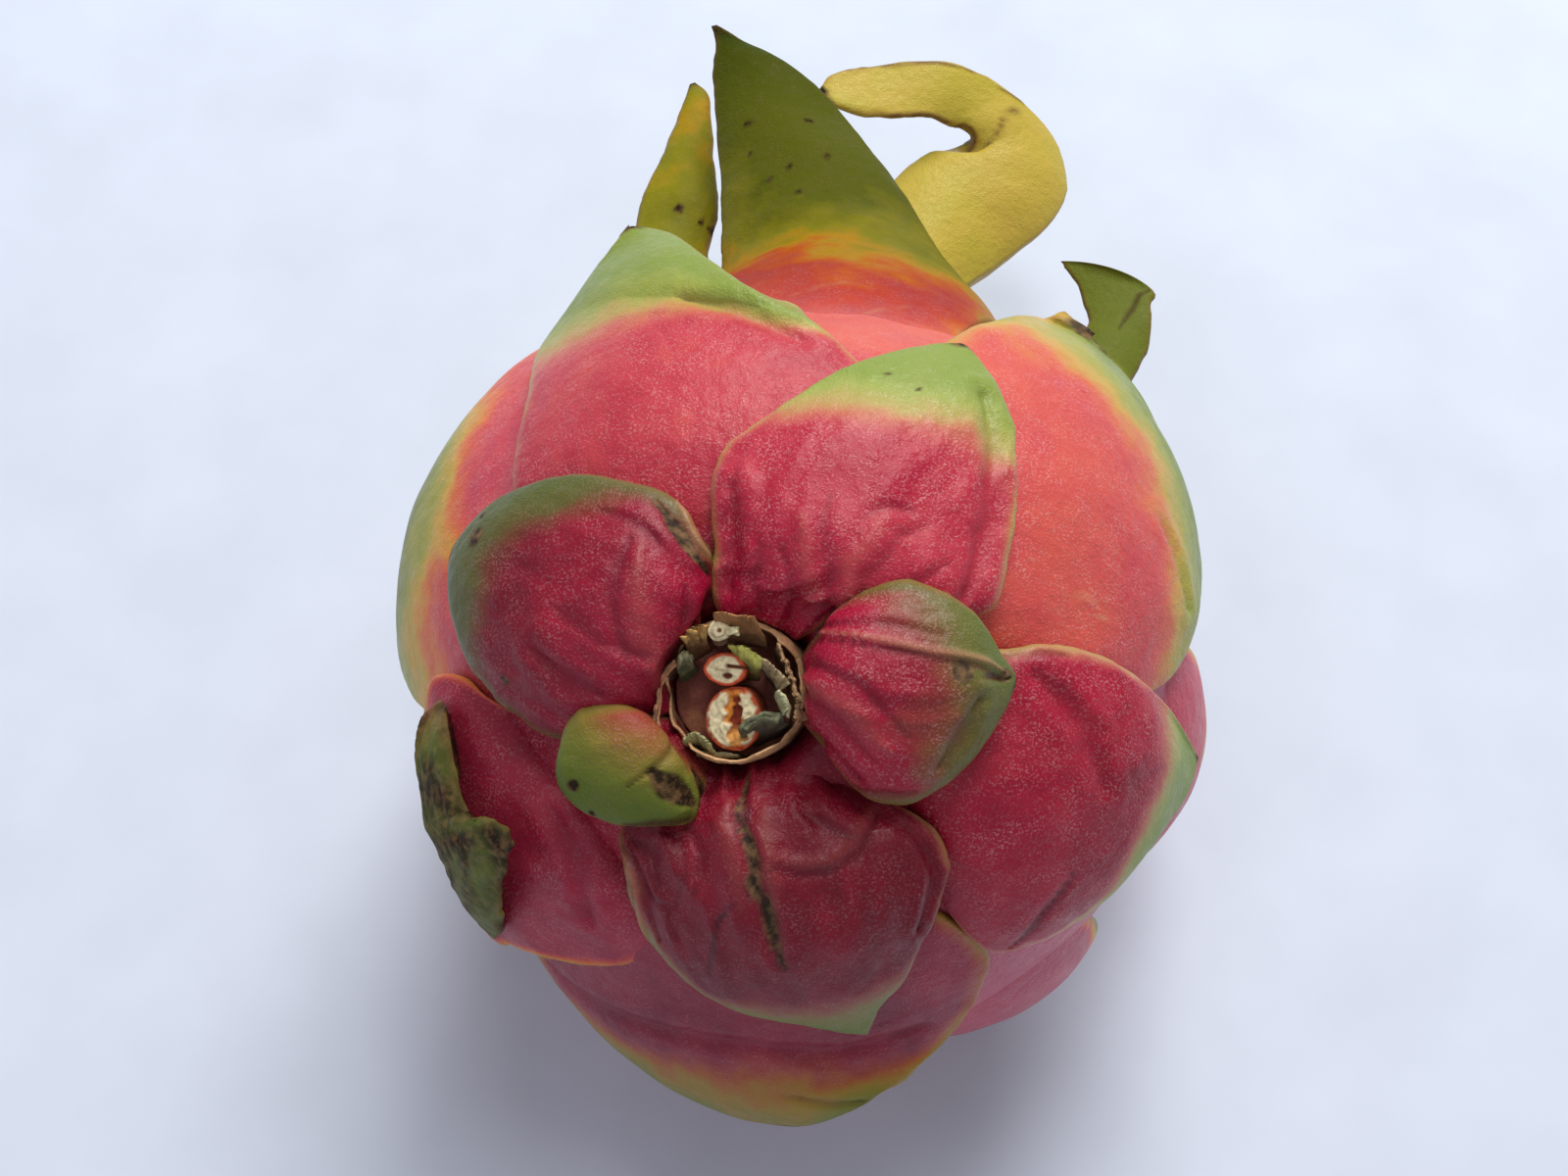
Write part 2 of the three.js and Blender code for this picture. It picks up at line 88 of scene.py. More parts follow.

# Each scale's look and rows. tone goes from crimson (0) to salmon (1), at the root and at the tip.
# green gives the rows where green starts, at five places from the left edge to the right one, and
# rims the width of the green along both edges. The rows run from root to tip. Each gives the left
# and the right edge, as angle down from the stem end, angle round the axis and height over the
# skin, then how far the middle swells.
# On the lower scales tone is set lower, partly as painted shade
SCALES = {
    "back_ring": dict(
        tone=(0.3, 0.52), magenta=0.9, green=(6.2, 6.35, 6.5, 6.65, 6.4), rims=(0, 0.2), soft=3.6,
        warm=0.05, folds=0.95, rows=[
        [8,118,-7,9,60,-7,0], [11.5,124,-1.6,13,52,-1.6,0.6], [15.5,120,0.5,19.5,50,0.5,2],
        [18,115.5,1.8,26,38.5,2,3.6], [24,114,4.2,32.5,33,3.8,3.2], [29,110.5,5,36.5,41.5,5,2.6],
        [34,100,5.5,41.5,51,6,2.2], [40.5,91.5,6,46.5,59,6.5,1.6], [46.5,84,6.5,50,66,7,1],
        [50.5,79,7,52,71,7.3,0.4], [53,75,7.6,53,74.5,7.6,0]]),
    "left_ring": dict(
        tone=(0.2, 0.06), magenta=0.9, shade=0.28, green=(6.5, 7.1, 7.2, 6.6, 5), rims=(0.5, 1.2),
        soft=4.6, deep=(-1, 0, 0.85), folds=0.95, rows=[
        [9,-150,-7,9,-222,-7,0], [13,-142,-1.6,13,-228,-1.6,0.6], [17.5,-141,0.6,17.5,-244,0.6,2.6],
        [21,-145.5,3,19,-242,3.4,4.2], [24.5,-151,4.5,24,-236.5,5,4], [28,-158,5.5,28,-226.5,6,3.4],
        [31,-164.5,6.5,32.5,-217,6.5,2.8], [34.5,-171,7,36,-208.5,7,2.2],
        [37.5,-178,7.2,39.5,-200.5,7,1.4], [40.5,-184,7.2,41,-193.5,7,0.6],
        [41.5,-188.5,7,41.5,-188.5,7,0]]),
    "right_ring": dict(
        tone=(0.26, 0.14), magenta=0.8, shade=0.12, green=(5.2, 5.8, 6.7, 7, 6.6), rims=(0.4, 0.2),
        soft=5, deep=(-1, 0, 0.8), folds=0.9, rows=[
        [9,48,-7,9,-14,-7,0], [12,52,-1.4,12,-18,-1.4,0.8], [16.5,55,1.2,14.5,-19,1.2,2.8],
        [19,54,4.5,16.5,-21,3,5.5], [22.5,50,6.5,20,-23,4.5,5], [25,43.5,7.5,23.5,-17,6,4.2],
        [27.5,36.5,8,26,-7,7,3.2], [29,30.5,8,28,1.5,7.5,2], [30,24.5,8,29.5,9,8,1],
        [31,21,8,31,15.5,8,0.3], [31.5,18,7.5,31.5,17.5,7.5,0]]),
    "small_ring": dict(
        tone=(0.3, 0.3), magenta=0.2, painted_shade_dim=0.24, green=(1.4, 2.1, 3, 3.8, 4.6), rims=(1.5, 1), soft=4.5,
        warm=0.3, deep=(-1, 0, 0.45), folds=0.5, rows=[
        [12,-98,-7,11,-146,-7,0], [13.5,-92,-2.4,12,-150,-2,0.4], [15.5,-89,1.2,13.5,-156,2.5,1.6],
        [16.5,-93,4,12.5,-160,5.2,2.2], [18,-104,5.2,16,-159.5,6.4,2.2],
        [20,-113.5,5.8,18.5,-155.5,6.6,1.8], [21.5,-122,6.2,20,-148.5,7,1.3],
        [22.5,-129,6.2,22,-141.5,6.5,0.5], [23,-135,6,23,-135.5,6,0]]),
    "front_ring": dict(
        tone=(0.06, 0), magenta=0.3, shade=0.4, green=(8.3, 8.8, 8.7, 8.2, 7.6), rims=(0, 1), soft=3.6,
        deep=(-1, 0, 0.3), folds=1.6, rows=[
        [10.5,-50,-7,11,-98,-7,0], [14,-33,-2.4,13.5,-103,-2.4,0.7], [19.5,-25,-0.8,19,-112,-0.8,2.2],
        [25.5,-19.5,1,25,-116.5,0.5,3.6], [30,-19.5,3,27,-110,2.5,3.6],
        [33.5,-24.5,4.5,31.5,-101.5,3.8,3.4], [36,-32,5,35.5,-94,4.4,3],
        [39,-39.5,5,39.5,-85.5,4.8,2.4], [42.5,-46,5,42.5,-77,5,1.6], [45,-51.5,5,45.5,-67,5,0.8],
        [48,-55,5,49,-61,4.9,0.2], [51.5,-57.5,4.7,51.5,-57.5,4.7,0]]),
    "upper_left": dict(
        tone=(0.5, 0.66), magenta=0.15, green=(4.6, 4.75, 4.8, 4.8, 4.3), rims=(0.6, 0.2), soft=4.6,
        warm=0.15, rows=[
        [28.5,165,-3,22,80,-3,0], [38,164.5,0,32.5,77,0,0.8], [45,158,3,42,79,1,1.2],
        [50,152.5,4,47,85.5,2,1.6], [57.5,146.5,5,50,91,3,1.8], [73.5,143,6,52,98.5,5,1.6],
        [73.5,138,7.5,54,106.5,7,1.4], [74,133.5,9.5,61,114,9,1], [74,129.5,11.5,71,120,11,0.5],
        [74.5,127,12.8,75,123.5,12.5,0.2], [74.5,125.5,13.5,74.5,125.5,13.5,0]]),
    "upper_right": dict(
        tone=(0.74, 1), magenta=0.05, green=(6.6, 5.9, 4.8, 3.5, 1.9), rims=(0.8, 12), soft=10, warm=0.45,
        rows=[
        [19,64.5,-3,35.5,18.5,-3,0], [29,72.5,0,47.5,12,0,0.6], [39,78,0.6,68,15,0.8,1.2],
        [50,79.5,1.4,78,23,2.5,1.6], [60,79.5,2.6,88,33,4,1.9], [67,77.5,3.8,87,42,5,1.8],
        [73.5,75,5,86,48.5,6,1.5], [85,72.5,6,85.5,54,7,1.1], [84.5,69.5,7,85,59.5,7.5,0.6],
        [84.5,67,7.5,84.5,63.5,7.8,0.2], [84.5,65,8,84.5,65,8,0]]),
    "right_lower": dict(
        tone=(0.26, 0.26), magenta=0.3, shade=0.08, green=(7.3, 7.2, 6.9, 5.7, 4.5), rims=(0.2, 2.4),
        soft=3.6, folds=0.1, rows=[
        [17,22,-3,32,-26.5,-3,0], [22,26.5,0,42.5,-34,0,1.5], [27.5,26,2,53,-34.5,1.5,2.4],
        [33,25,3.6,56,-29,3,2.8], [38.5,24.5,4.6,58.5,-22.5,4,2.8], [43.5,22.5,5.2,59.5,-16,5,2.4],
        [49,19,5.6,61,-9.5,5.5,1.9], [54.5,15,5.7,63.5,-4.5,5.6,1.2], [60.5,10.5,5.6,67,0,5.6,0.5],
        [68,5.5,5.5,68.5,5.5,5.5,0]]),
    "front_lower": dict(
        tone=(0.22, 0), mauve=0.3, shade=0.32, green=(4.9, 6.1, 6.1, 5.9, 4.6), rims=(1, 2), soft=6.5,
        warm=0.6, deep=(-1, 0, 0.3), rows=[
        [35,-41,-3,31,-93.5,-3,0], [42,-35,0,37.5,-109,0,0.4], [55.5,-35,0.6,51.5,-116,0.6,0.7],
        [62.5,-42,1.6,70.5,-116.5,1.8,0.8], [65.5,-48,3,70.5,-108.5,3.4,0.8],
        [65,-53.5,5,71,-100,5.2,0.8], [64,-59,7,72,-91,7,0.7], [65.5,-64.5,8.4,73,-82.5,8.4,0.4],
        [70,-73,9.2,70,-73,9.2,0]]),
    "left_lower": dict(
        tone=(0.3, 0.12), magenta=0.2, mauve=0.2, shade=0.15, green=(9, 9, 8.6, 6, 3.6), rims=(0.3, 2.4),
        warm=0.8, rows=[
        [31.5,-96,-3,32,-153.5,-3,0], [38.5,-91.5,0,38.5,-161,0,1.2], [45.5,-98.5,1,44,-166,2,2],
        [50,-105,2,49,-165.5,3.5,2.2], [52,-110,3,51,-159,4,2], [53,-113.5,3.8,52,-151.5,4.5,1.7],
        [55.5,-117,4.2,54.5,-145,4.8,1.3], [57,-119,4.6,56,-137.5,5,0.8], [58,-120,5,59,-130,5,0.3],
        [60.5,-122,5,60,-122,5,0]]),
    "left_curl": dict(
        tone=(0.1, 0.1), painted_shade_dim=0.2, green=(0.6, 0.8, 1.2, 1.6, 2), rims=(1, 1), soft=5, warm=0.3,
        deep=(-1, 0, 0.35), dry=1.15, folds=0.9, ragged=2.6, rim=0.7, flesh=0, rows=[
        [41.5,-161,5.2,44,-162,4.6,0], [39.5,-156.5,6.2,48,-157.5,4.8,0.6],
        [38,-150.5,7,50.5,-151.5,5,1], [38,-140.5,7.6,52,-146,5.2,1.3],
        [34,-138,8.4,53,-141.5,5.4,1.5], [29.5,-132,9,53.5,-137,5.6,1.6],
        [33,-127.5,8.8,54.5,-133,5.6,1.4], [39,-123.5,8.2,55.5,-129,5.6,1],
        [46.5,-121.5,7,57,-125,5.4,0.5], [58,-121.5,5.2,58,-122,5.2,0]]),
    "left_upper": dict(
        tone=(0.62, 0.86), mauve=0.3, green=(2.2, 2.4, 3, 4.8, 5.4), rims=(2.5, 3), soft=11, warm=0.75,
        rows=[
        [34,200,-3,34,160,-3,0], [48,203,0,46,150,0,0.6], [60,202,1.2,58,143,1,1],
        [70,198,3,68,139,2.6,1.2], [77,192,5,76,138,4.2,1.2], [83,184,6.4,82,141,5.6,1],
        [87,176,7.3,86.5,149,6.8,0.6], [89,170,7.7,89,157,7.5,0.2], [90,164,7.8,90,163,7.8,0]]),
    "crown_tall": dict(
        tone=(0.85, 0.95), painted_shade_dim=0.5, green=(2.2, 1.95, 1.7, 1.7, 1.9), rims=(0, 0), soft=20, warm=1,
        deep=(4.4, 8.8, 0.95), rows=[
        [70,122,-3,70,78,-3,0], [84,124,0,84,80,0,0.5], [106,122.5,9.9,114.5,80,9.5,2.2],
        [111,121.5,19.2,116,91,17.7,3], [113,120.5,29.6,116,98.5,27.9,3],
        [114,120,39,116,104.5,37.7,2.4], [114.5,119.5,47.4,115.5,108.5,45.4,1.7],
        [114.5,119,53,115,112.5,51.6,1], [114.5,118.5,56.9,115,115.5,55.7,0.3],
        [114,118.5,58.9,114,118,58.9,0]]),
    "crown_yellow": dict(
        tone=(0.9, 0.9), painted_shade_dim=0.36, green=(7,) * 5, rims=(0.4, 0.4), soft=9, warm=1, base=0.58,
        deep=(7, 9, 0.5), rows=[
        [96,146,-3,96,122,-3,0], [108,144,3,108,124,3,0.6], [115.5,135,25.1,118.5,125,17,1],
        [118,132,35,120.5,125,26.8,1.4], [119,129.5,41.9,120.5,122.5,33.6,1.4],
        [119.5,127,47.1,121,122,40.7,1.2], [120,125,52.4,121,121.5,49.3,0.8],
        [120,123.5,56.3,120.5,121,56.1,0.3], [120,122.5,59.3,120,122,59.2,0]]),
    "crown_strap": dict(
        tone=(0.9, 0.9), painted_shade_dim=0.16, green=(14,) * 5, rims=(0.8, 0.8), soft=9, warm=1, base=0.62,
        inner_from=8.2, rows=[
        [113,90,-3,113,112,-3,0], [135.5,98,15,131.5,110,28,0.5],
        [135.5,94.5,26.8,131,105.5,39.8,0.8], [135,89,38.1,130,101.5,48.6,1],
        [133.5,85,47.2,129,98.5,52.6,1], [132.5,84,54,128,96,54.1,0.8],
        [131.5,85,57.9,127.5,95.5,54.2,0.5], [130,87,61.6,127,95,54.2,0.2],
        [127.5,90.5,63.4,126.5,95.5,54.1,0], [125,94,63.3,126,97,53.8,0],
        [123,98.5,61.7,124.5,99,52.6,0], [122,104,58.8,123.5,102,50.7,0],
        [121,108.5,55.8,122.5,105.5,49.2,0], [121,110,53,121,109.5,50,0]]),
    "crown_hook": dict(
        tone=(0.9, 0.9), painted_shade_dim=0.36, green=(2,) * 5, rims=(1, 1), warm=0.6, base=1, rows=[
        [106,66,-3,106,44,-3,0], [113,67,4,113,48,4,0.6], [127,70.5,20,125,59,19.2,0.8],
        [128.5,71.5,28.8,127,62,28.7,0.6], [129,74,32.7,126.5,64.5,34,0],
        [129,76,35.2,126.5,66.5,37.4,-0.5], [129,78,36.8,126.5,68,39.4,-0.8],
        [129,79.5,38,129,79.5,38,0]]),
    "under_right": dict(
        tone=(0.42, 0.3), magenta=0.1, mauve=0.6, green=(2.2, 2.3, 2.3, 2.3, 2.2), rims=(2, 3), warm=0.9,
        rows=[
        [74.5,-25,-2,76.5,-64.5,-2,0], [88,-24.5,0,92,-63.5,0,2], [99.5,-28,2.6,104,-56,2.6,1.9],
        [109,-39,5.5,109,-41,5.5,0]]),
    "behind_right": dict(
        tone=(0.5, 0.5), magenta=0.1, mauve=0.3, green=(2.3, 2.4, 2.4, 2.4, 2.3), rims=(1.5, 2), warm=0.5,
        rows=[
        [68,19,-2,69.5,-15,-2,0], [81,21,-0.8,83.5,-15,-0.8,2], [93,18.5,1.1,95,-10.5,1.1,1.9],
        [103,6,4.5,103,4,4.5,0]]),
    "under_left": dict(
        tone=(0.55, 0.5), magenta=0.1, mauve=0.3, green=(2, 2.2, 2.2, 2.2, 2), rims=(2, 2), warm=0.8,
        rows=[
        [84,-133,-2,84,-167,-2,0], [97,-132.5,0,98,-167.5,0,2], [108.5,-135.5,2.4,110.5,-163,2.4,1.6],
        [119,-147,5,119,-149,5,0]]),
    "crown_left": dict(HIDDEN_LOOK, green=(1.6, 1.8, 1.8, 1.8, 1.6), rims=(1.5, 1.5), soft=5, rows=[
        [92,182.5,-2,92,153.5,-2,0], [108,183,0.6,107,153,0.6,1.9],
        [121.5,179,6.9,119.5,155.5,6.9,1.1], [131,172,15.6,128.5,158.5,15.6,0.4],
        [134,164,22,134,162,22,0]]),
    "crown_right": dict(HIDDEN_LOOK, green=(1.6, 1.8, 1.8, 1.8, 1.6), rims=(1.5, 1.5), soft=5, rows=[
        [97.5,36.5,-2,98.5,11.5,-2,0], [113,39,1.5,114,11,1.5,1.5], [124.5,37,8.1,126.5,15,8.1,0.9],
        [133,34,15.7,135,22,15.7,0.3], [138,31,21,138,29,21,0]]),
    "blossom_left": dict(HIDDEN_LOOK, green=(1.4, 1.5, 1.5, 1.5, 1.4), rims=(1, 1), rows=[
        [131.5,153,-2,131.5,127,-2,0], [145.5,157,1.2,144.5,123.5,1.2,0.8],
        [155.5,152,8.6,153.5,125,8.6,0.4], [158,136.5,17,158,133.5,17,0]]),
    "blossom_right": dict(HIDDEN_LOOK, green=(1.4, 1.5, 1.5, 1.5, 1.4), rims=(1, 1), rows=[
        [131.5,75,-2,131.5,49,-2,0], [144.5,78.5,1.2,145.5,45,1.2,0.8],
        [153.5,77,8.6,155.5,50,8.6,0.4], [158,68.5,17,158,65.5,17,0]]),
}

# What each kind of line or spot adds: height in mm, darkness, dryness and paleness. The darkness of
# creases, folds and shade lines is painted shade; that of cracks, scars and spots is their own.
LINE_KINDS = {
    "crease": (-0.4, 0.35, 0, 0), "fold": (-0.6, 0.15, 0, 0), "ridge": (0.5, 0, 0, 0.8),
    "ridge_soft": (0.4, 0, 0, 0.15), "scar": (-0.5, 0.2, 1, 0), "crack": (-0.45, 1, 0, 0),
    "spot": (0.05, 0.1, 1, 0), "shade": (-0.15, 0.9, 0, 0), "flake": (0.2, 0, 0, 0.9),
    "pale_line": (0, 0, 0, 0.7), "ring": (0.3, 0, 0, 0.6),
}

# The creases, ridges, scars and spots of each scale, by kind. Each gives its width in mm and then
# its places in pairs: rows from the root, and from -1 at the left edge to 1 at the right.
LINES = {
    "back_ring": [
        ("fold", (3.2,7.5,0.6,6.3,0.73,5.2,0.78,4.1,0.75)),
        ("crease",
        (1,1.2,0.38,2.6,-0.1,3.6,-0.4), (1.1,1.4,0.78,3,0.1,4.1,-0.2,4.7,-0.2),
        (1.1,2,0.83,3.6,0.15,4.5,0.23,4.9,0.4), (1,2.5,0.83,3.8,0.4,4.4,0.55),
        (1,1.3,-0.1,2.4,-0.45,3.6,-0.57)),
        ("ridge_soft", (1.6,1.8,0.38,3.5,-0.2,4.2,-0.35), (1.8,2.4,0.45,3.8,0.03,4.7,0.12)),
        ("fold", (2.4,1.7,-0.65,3.3,-0.78,4.2,-0.82)),
        ("crease", (1.2,4.6,0.03,4.9,0.12,5,0.28)),
        ("spot", (0.7,7.2,-0.48), (0.7,7,-0.1))],
    "left_ring": [
        ("scar", (1.5,4.2,0.88,3.7,0.85,3.2,0.85,2.3,0.78)),
        ("ridge", (1.4,3.9,1,3.3,0.98,2.6,0.92)),
        ("fold", (1.8,1.9,0.65,1.3,0.43,0.7,-0.17)),
        ("crease", (1.2,2.8,0.58,2.2,0.18,1.2,-0.35)),
        ("ridge_soft", (2.2,3.8,0.55,3.2,0.23,2.1,-0.27)),
        ("crease", (1.4,4.1,0.58,3.8,0.2,3,-0.1), (1.2,5,0.68,4.3,0.68,3.6,0.68)),
        ("fold", (2.2,3.1,-0.42,3.8,-0.45,4.7,-0.38)),
        ("spot", (2.6,7.5,0.23), (1.2,7.8,0.6), (1,5.2,-0.72)),
        ("crease", (1.6,4.7,-0.07,3.6,-0.1,2.8,0))],
    "right_ring": [
        ("ridge", (0.7,1.8,-0.6,3.8,-0.45,4.9,-0.42,6.4,-0.42,7.9,-0.4)),
        ("shade", (0.8,1.8,-0.5,3.8,-0.38,4.9,-0.38,6.4,-0.32,7.7,-0.22)),
        ("fold", (1.6,1.4,-0.02,2.2,0.55,3.8,0.75)),
        ("crease",
        (1.1,1.7,-0.12,3.2,0.25,4.2,0.53), (1,1.9,-0.32,3.8,-0.05,4.8,0.28),
        (1,2.7,-0.6,4,-0.57,5.3,-0.57)),
        ("ridge_soft", (1.8,2.3,-0.07,3.7,0.15,4.5,0.43)),
        ("crease", (1.2,3.6,0.9,4.4,0.83,5.1,0.83)),
        ("spot", (1.6,8.1,-0.32), (2.2,5.8,-0.25)),
        ("crack", (0.7,6.5,-0.22,7.2,-0.22,8.4,-0.22)),
        ("fold", (2,5.6,0.65,6.1,0.38,6.5,0.07))],
    "small_ring": [
        ("ring", (1.6,1.6,0.9)),
        ("spot", (1,5.7,-0.72)),
        ("scar", (2,1.6,-0.45,1.8,-0.8,2.4,-1), (1.6,3.2,-0.05,3.1,-0.38,2.6,-0.75)),
        ("shade", (1.6,4.7,-0.9,3.8,-0.88,2.9,-0.9)),
        ("spot", (1.2,5.8,-0.02)),
        ("crease", (1,0.8,0.45,2.3,0.2,3.8,-0.2))],
    "front_ring": [
        ("scar", (1.5,1.3,0.03,3.6,0.07,4.5,0.1,5.3,0.07,6.2,0.07)),
        ("crack", (0.9,1.5,0.03,2.9,0,4.2,0.1)),
        ("ridge_soft", (1.6,2.3,0.12,3.8,0.18,4.8,0.2), (1.6,2.7,-0.12,4.1,0,4.9,0.03)),
        ("shade", (0.6,4.7,0.25,5.1,0.38,5.8,0.48,6.6,0.68)),
        ("crease",
        (1.1,3.4,0.85,3.8,0.7,4.4,0.7), (1.1,3,0.7,3.5,0.5,4.2,0.5,4.8,0.62),
        (1,4.4,0.88,4.8,0.68,5.5,0.7), (1,2.9,0.43,3.8,0.38,4.5,0.45)),
        ("ridge", (1,3.7,0.95,4.5,0.88,5.9,1)),
        ("crease", (1.2,3.8,0.88,4.5,0.8,5.6,0.85)),
        ("ridge_soft", (1.3,2.9,-0.8,3.4,-0.65,3.9,-0.5,4.2,-0.32,4.2,-0.17,4,-0.02)),
        ("crease",
        (0.9,3.2,-0.78,3.8,-0.6,4.2,-0.48,4.4,-0.32,4.4,-0.15,4.2,-0.02),
        (0.9,3.9,-0.5,3.5,-0.38,3.1,-0.3)),
        ("fold", (1.6,3.8,-0.82,4.9,-0.88,6.3,-0.85))],
    "upper_right": [
        ("fold", (2.2,3.4,0.38,3.2,0.58,2.9,0.78)),
        ("flake", (0.5,1.2,0.3,1.6,0.18,1.8,0.15,2,0.2,1.9,0.33,1.8,0.45)),
        ("crease", (1,7.6,-0.95,8.2,-0.75,9.8,-0.62))],
    "upper_left": [
        ("fold", (3,5.2,0.33,4.7,0.58,4.1,0.73)),
        ("crease", (1,1.5,0.2,1.2,0.18,0.7,0.18))],
    "right_lower": [
        ("crack", (1.2,2.5,0.92,3,0.65,3.7,0.38)),
        ("fold", (3,3.5,-0.82,4.3,-0.5,4.6,-0.1)),
        ("crease", (1.2,2.2,-0.92,3.2,-0.95,4.3,-0.92))],
    "left_lower": [
        ("scar", (1,2.6,0.73,2.7,0.55,2.8,0.38)),
        ("fold", (2.4,1.1,0.15,1.2,-0.2,1.9,-0.6))],
    "front_lower": [
        ("fold", (3.4,2.8,0.88,3.2,0.43,3.3,0,3.7,-0.42,3.3,-0.78)),
        ("crease", (1,5.4,-0.17,6.1,-0.55,6.4,-0.88))],
    "crown_tall": [
        ("spot",
        (1.6,4.9,-0.5), (1.4,4.8,0.2), (1.2,4.2,-0.57), (1.1,4,0.15), (1.1,3.8,-0.22), (0.9,3.9,-0.75),
        (0.9,3.6,-0.45), (1,3.2,-0.25), (0.8,3.2,-0.02)),
        ("pale_line", (0.7,1,-0.25,1.2,0.1,1.2,0.35), (0.6,0.8,-0.02,0.8,0.3,1.1,0.58))],
    "crown_yellow": [
        ("spot", (1.5,3.5,0.07), (1.2,3.5,0.68), (1.6,3.5,1))],
    "crown_strap": [
        ("shade",
        (0.9,8.8,-0.78,8.2,-0.9,7.8,0.18,6.4,0.95), (0.9,6.1,0.95,9.5,0.98,10.9,1,11.9,1),
        (0.8,9.1,-0.88,10,-0.88,11,-0.92,12.1,-0.98))],
    "crown_hook": [
        ("shade", (0.9,5.8,0.85,4.2,0.4,3.2,-0.02))],
}


# The dry cup's torn pieces, in mm in the fruit's own frame. Each is a sheet over its paths, from
# where it is rooted to its ragged edge, with the colour at that edge and at its root. A path is its
# height and then its places in pairs. lift raises the upper part, and turned says how many of the
# last paths hang over beyond the ragged edge.
FLAKES = {
    "left_wall": dict(lift=3.6, turned=1, top=(168, 122, 90), low=(86, 62, 46), ragged=0.3, paths=[
        (45,-7.6,0,-8.4,-1.9,-8.3,-4.1,-7.7,-6.2,-7,-7.5,-5.7,-8.6),
        (50.8,-7.3,1.5,-8.1,-1,-7.9,-3.4,-7.4,-5.8,-6.6,-7.3,-5.1,-8.3),
        (50.4,-6.8,1,-7.6,-1.2,-7.4,-3.3,-7,-5.4,-6.2,-6.8,-4.9,-7.9)]),
    "grey_patch": dict(top=(150, 146, 112), low=(84, 98, 66), thick=0.3, ragged=0.35, paths=[
        (46.5,-7.1,-1.7,-6.2,-1.2,-5.6,0.4), (50,-6.8,0.3,-6.3,1.1,-5.3,1.4),
        (52,-6.4,2,-6.1,2.7,-5.4,2.3)]),
    "tuft": dict(top=(168, 134, 78), low=(96, 68, 40), thick=0.6, ragged=0.7, paths=[
        (48.5,-5.6,1.5,-5,2.3,-4.2,3.2), (51.3,-6.2,3.2,-5.4,4,-4.4,4.4),
        (52.6,-6.3,4.2,-5.7,5.3,-4.5,5.9)]),
    "spike": dict(top=(214, 208, 172), low=(180, 170, 130), thick=0.5, ragged=0.05, paths=[
        (53.3,-2.4,6.5,-2.1,5.5), (53.6,-1.8,6.6,-1.6,5.9), (53.8,-0.9,6.5,-0.9,6.4)]),
    "back_flap": dict(top=(132, 92, 54), low=(92, 60, 34), thick=0.3, ragged=0.45, paths=[
        (49.5,-3.2,4.2,-2,4.4,-0.8,4.6,0.5,4.8,2,5), (52,-3.6,5.8,-2.4,6,-1.2,6.3,0.1,6.6,1.5,6.3),
        (54.3,-3.9,7.5,-2.9,7.9,-1.7,7.9,-0.5,8.2,0.5,8.3)]),
    "green_fibres": dict(top=(166, 164, 84), low=(98, 92, 44), thick=0.4, ragged=0.5, paths=[
        (48.2,-1,2.3,0.3,1.4,1.5,1.4), (50.5,-1.4,3.8,0.2,3.1,1.9,2.7), (51.7,-2,4.5,-0.2,4.8,2.2,4)]),
    "right_wall": dict(turned=1, top=(160, 128, 92), low=(96, 72, 52), ragged=0.55, paths=[
        (45.5,1.8,3.8,3.2,2.3,4.4,0.5,5.2,-1.3,5.3,-2.4), (51.3,2.9,6,4.3,4.2,5.7,2.3,6.6,0.8,6.9,-1),
        (51.9,3.5,6.2,4.8,4.1,6.3,2.2,7,0.6,7.2,-0.8)]),
    "right_inner": dict(top=(158, 142, 108), low=(82, 66, 50), ragged=0.6, paths=[
        (47,1.8,1.9,3,0.8,3.8,0), (50.5,1.9,3.2,3.3,2.4,4.4,1.3), (52.3,2.2,3.9,3.6,3.5,5.4,2.5)]),
    "pale_lip": dict(lift=4.6, turned=1, top=(186, 184, 144), low=(120, 122, 86), ragged=0.2, paths=[
        (48.5,4.3,0,4.6,-0.6,5.2,-1.1), (51.2,4.5,1.1,5.2,0.4,5.9,-0.9), (51.6,5.1,1.5,5.9,0.9,6.3,-0.2),
        (49.8,5.3,0.9,6.1,0.1,6.3,-1.2)]),
    "lobe": dict(lift=4.6, turned=1, top=(104, 108, 80), low=(66, 56, 50), thick=0.5, ragged=0.08, paths=[
        (44.8,1.9,-6.7,3.7,-6.6,5.4,-4.8,6,-2.8), (48.4,1.8,-5.4,3.1,-4.6,4.7,-3.5,6,-2),
        (50.6,2,-3.5,2.7,-2.1,3.8,-1.4,5.6,-1.2), (49.6,2.2,-3.5,2.9,-2.5,3.8,-1.9,5.1,-1.7)]),
    "torn_left": dict(lift=4, top=(140, 108, 78), low=(80, 58, 44), ragged=0.4, paths=[
        (45,-6,-8.8,-4.7,-9,-3.3,-9,-1.8,-9), (49,-5.4,-8.5,-4.7,-7.8,-3.6,-7.1,-1.9,-7.9)]),
    "torn_green": dict(lift=4, top=(138, 136, 96), low=(78, 78, 54), ragged=0.35, paths=[
        (45.2,-4.4,-9,-2.6,-9.1,-0.3,-9.1), (48.8,-3.9,-7.4,-2.5,-7.2,-0.5,-7.5),
        (50.5,-4,-6.6,-3.2,-5.5,-1,-6.2)]),
    "torn_point": dict(lift=4, top=(98, 90, 64), low=(124, 116, 84), ragged=0.15, paths=[
        (49.4,-2.6,-7.5,-0.7,-7,2,-6.4), (47,-1.7,-8.4,-0.2,-8.2,1.9,-7.5),
        (45.4,-0.2,-8.8,0.3,-9,0.6,-8.7)]),
    "thorn": dict(top=(128, 92, 68), low=(96, 64, 48), ragged=0.1, paths=[
        (47.6,6.1,-2.7,5.6,-1.9), (48.8,7,-1.6,6.7,-0.8), (49.5,7.9,-0.4,7.9,-0.3)]),
}


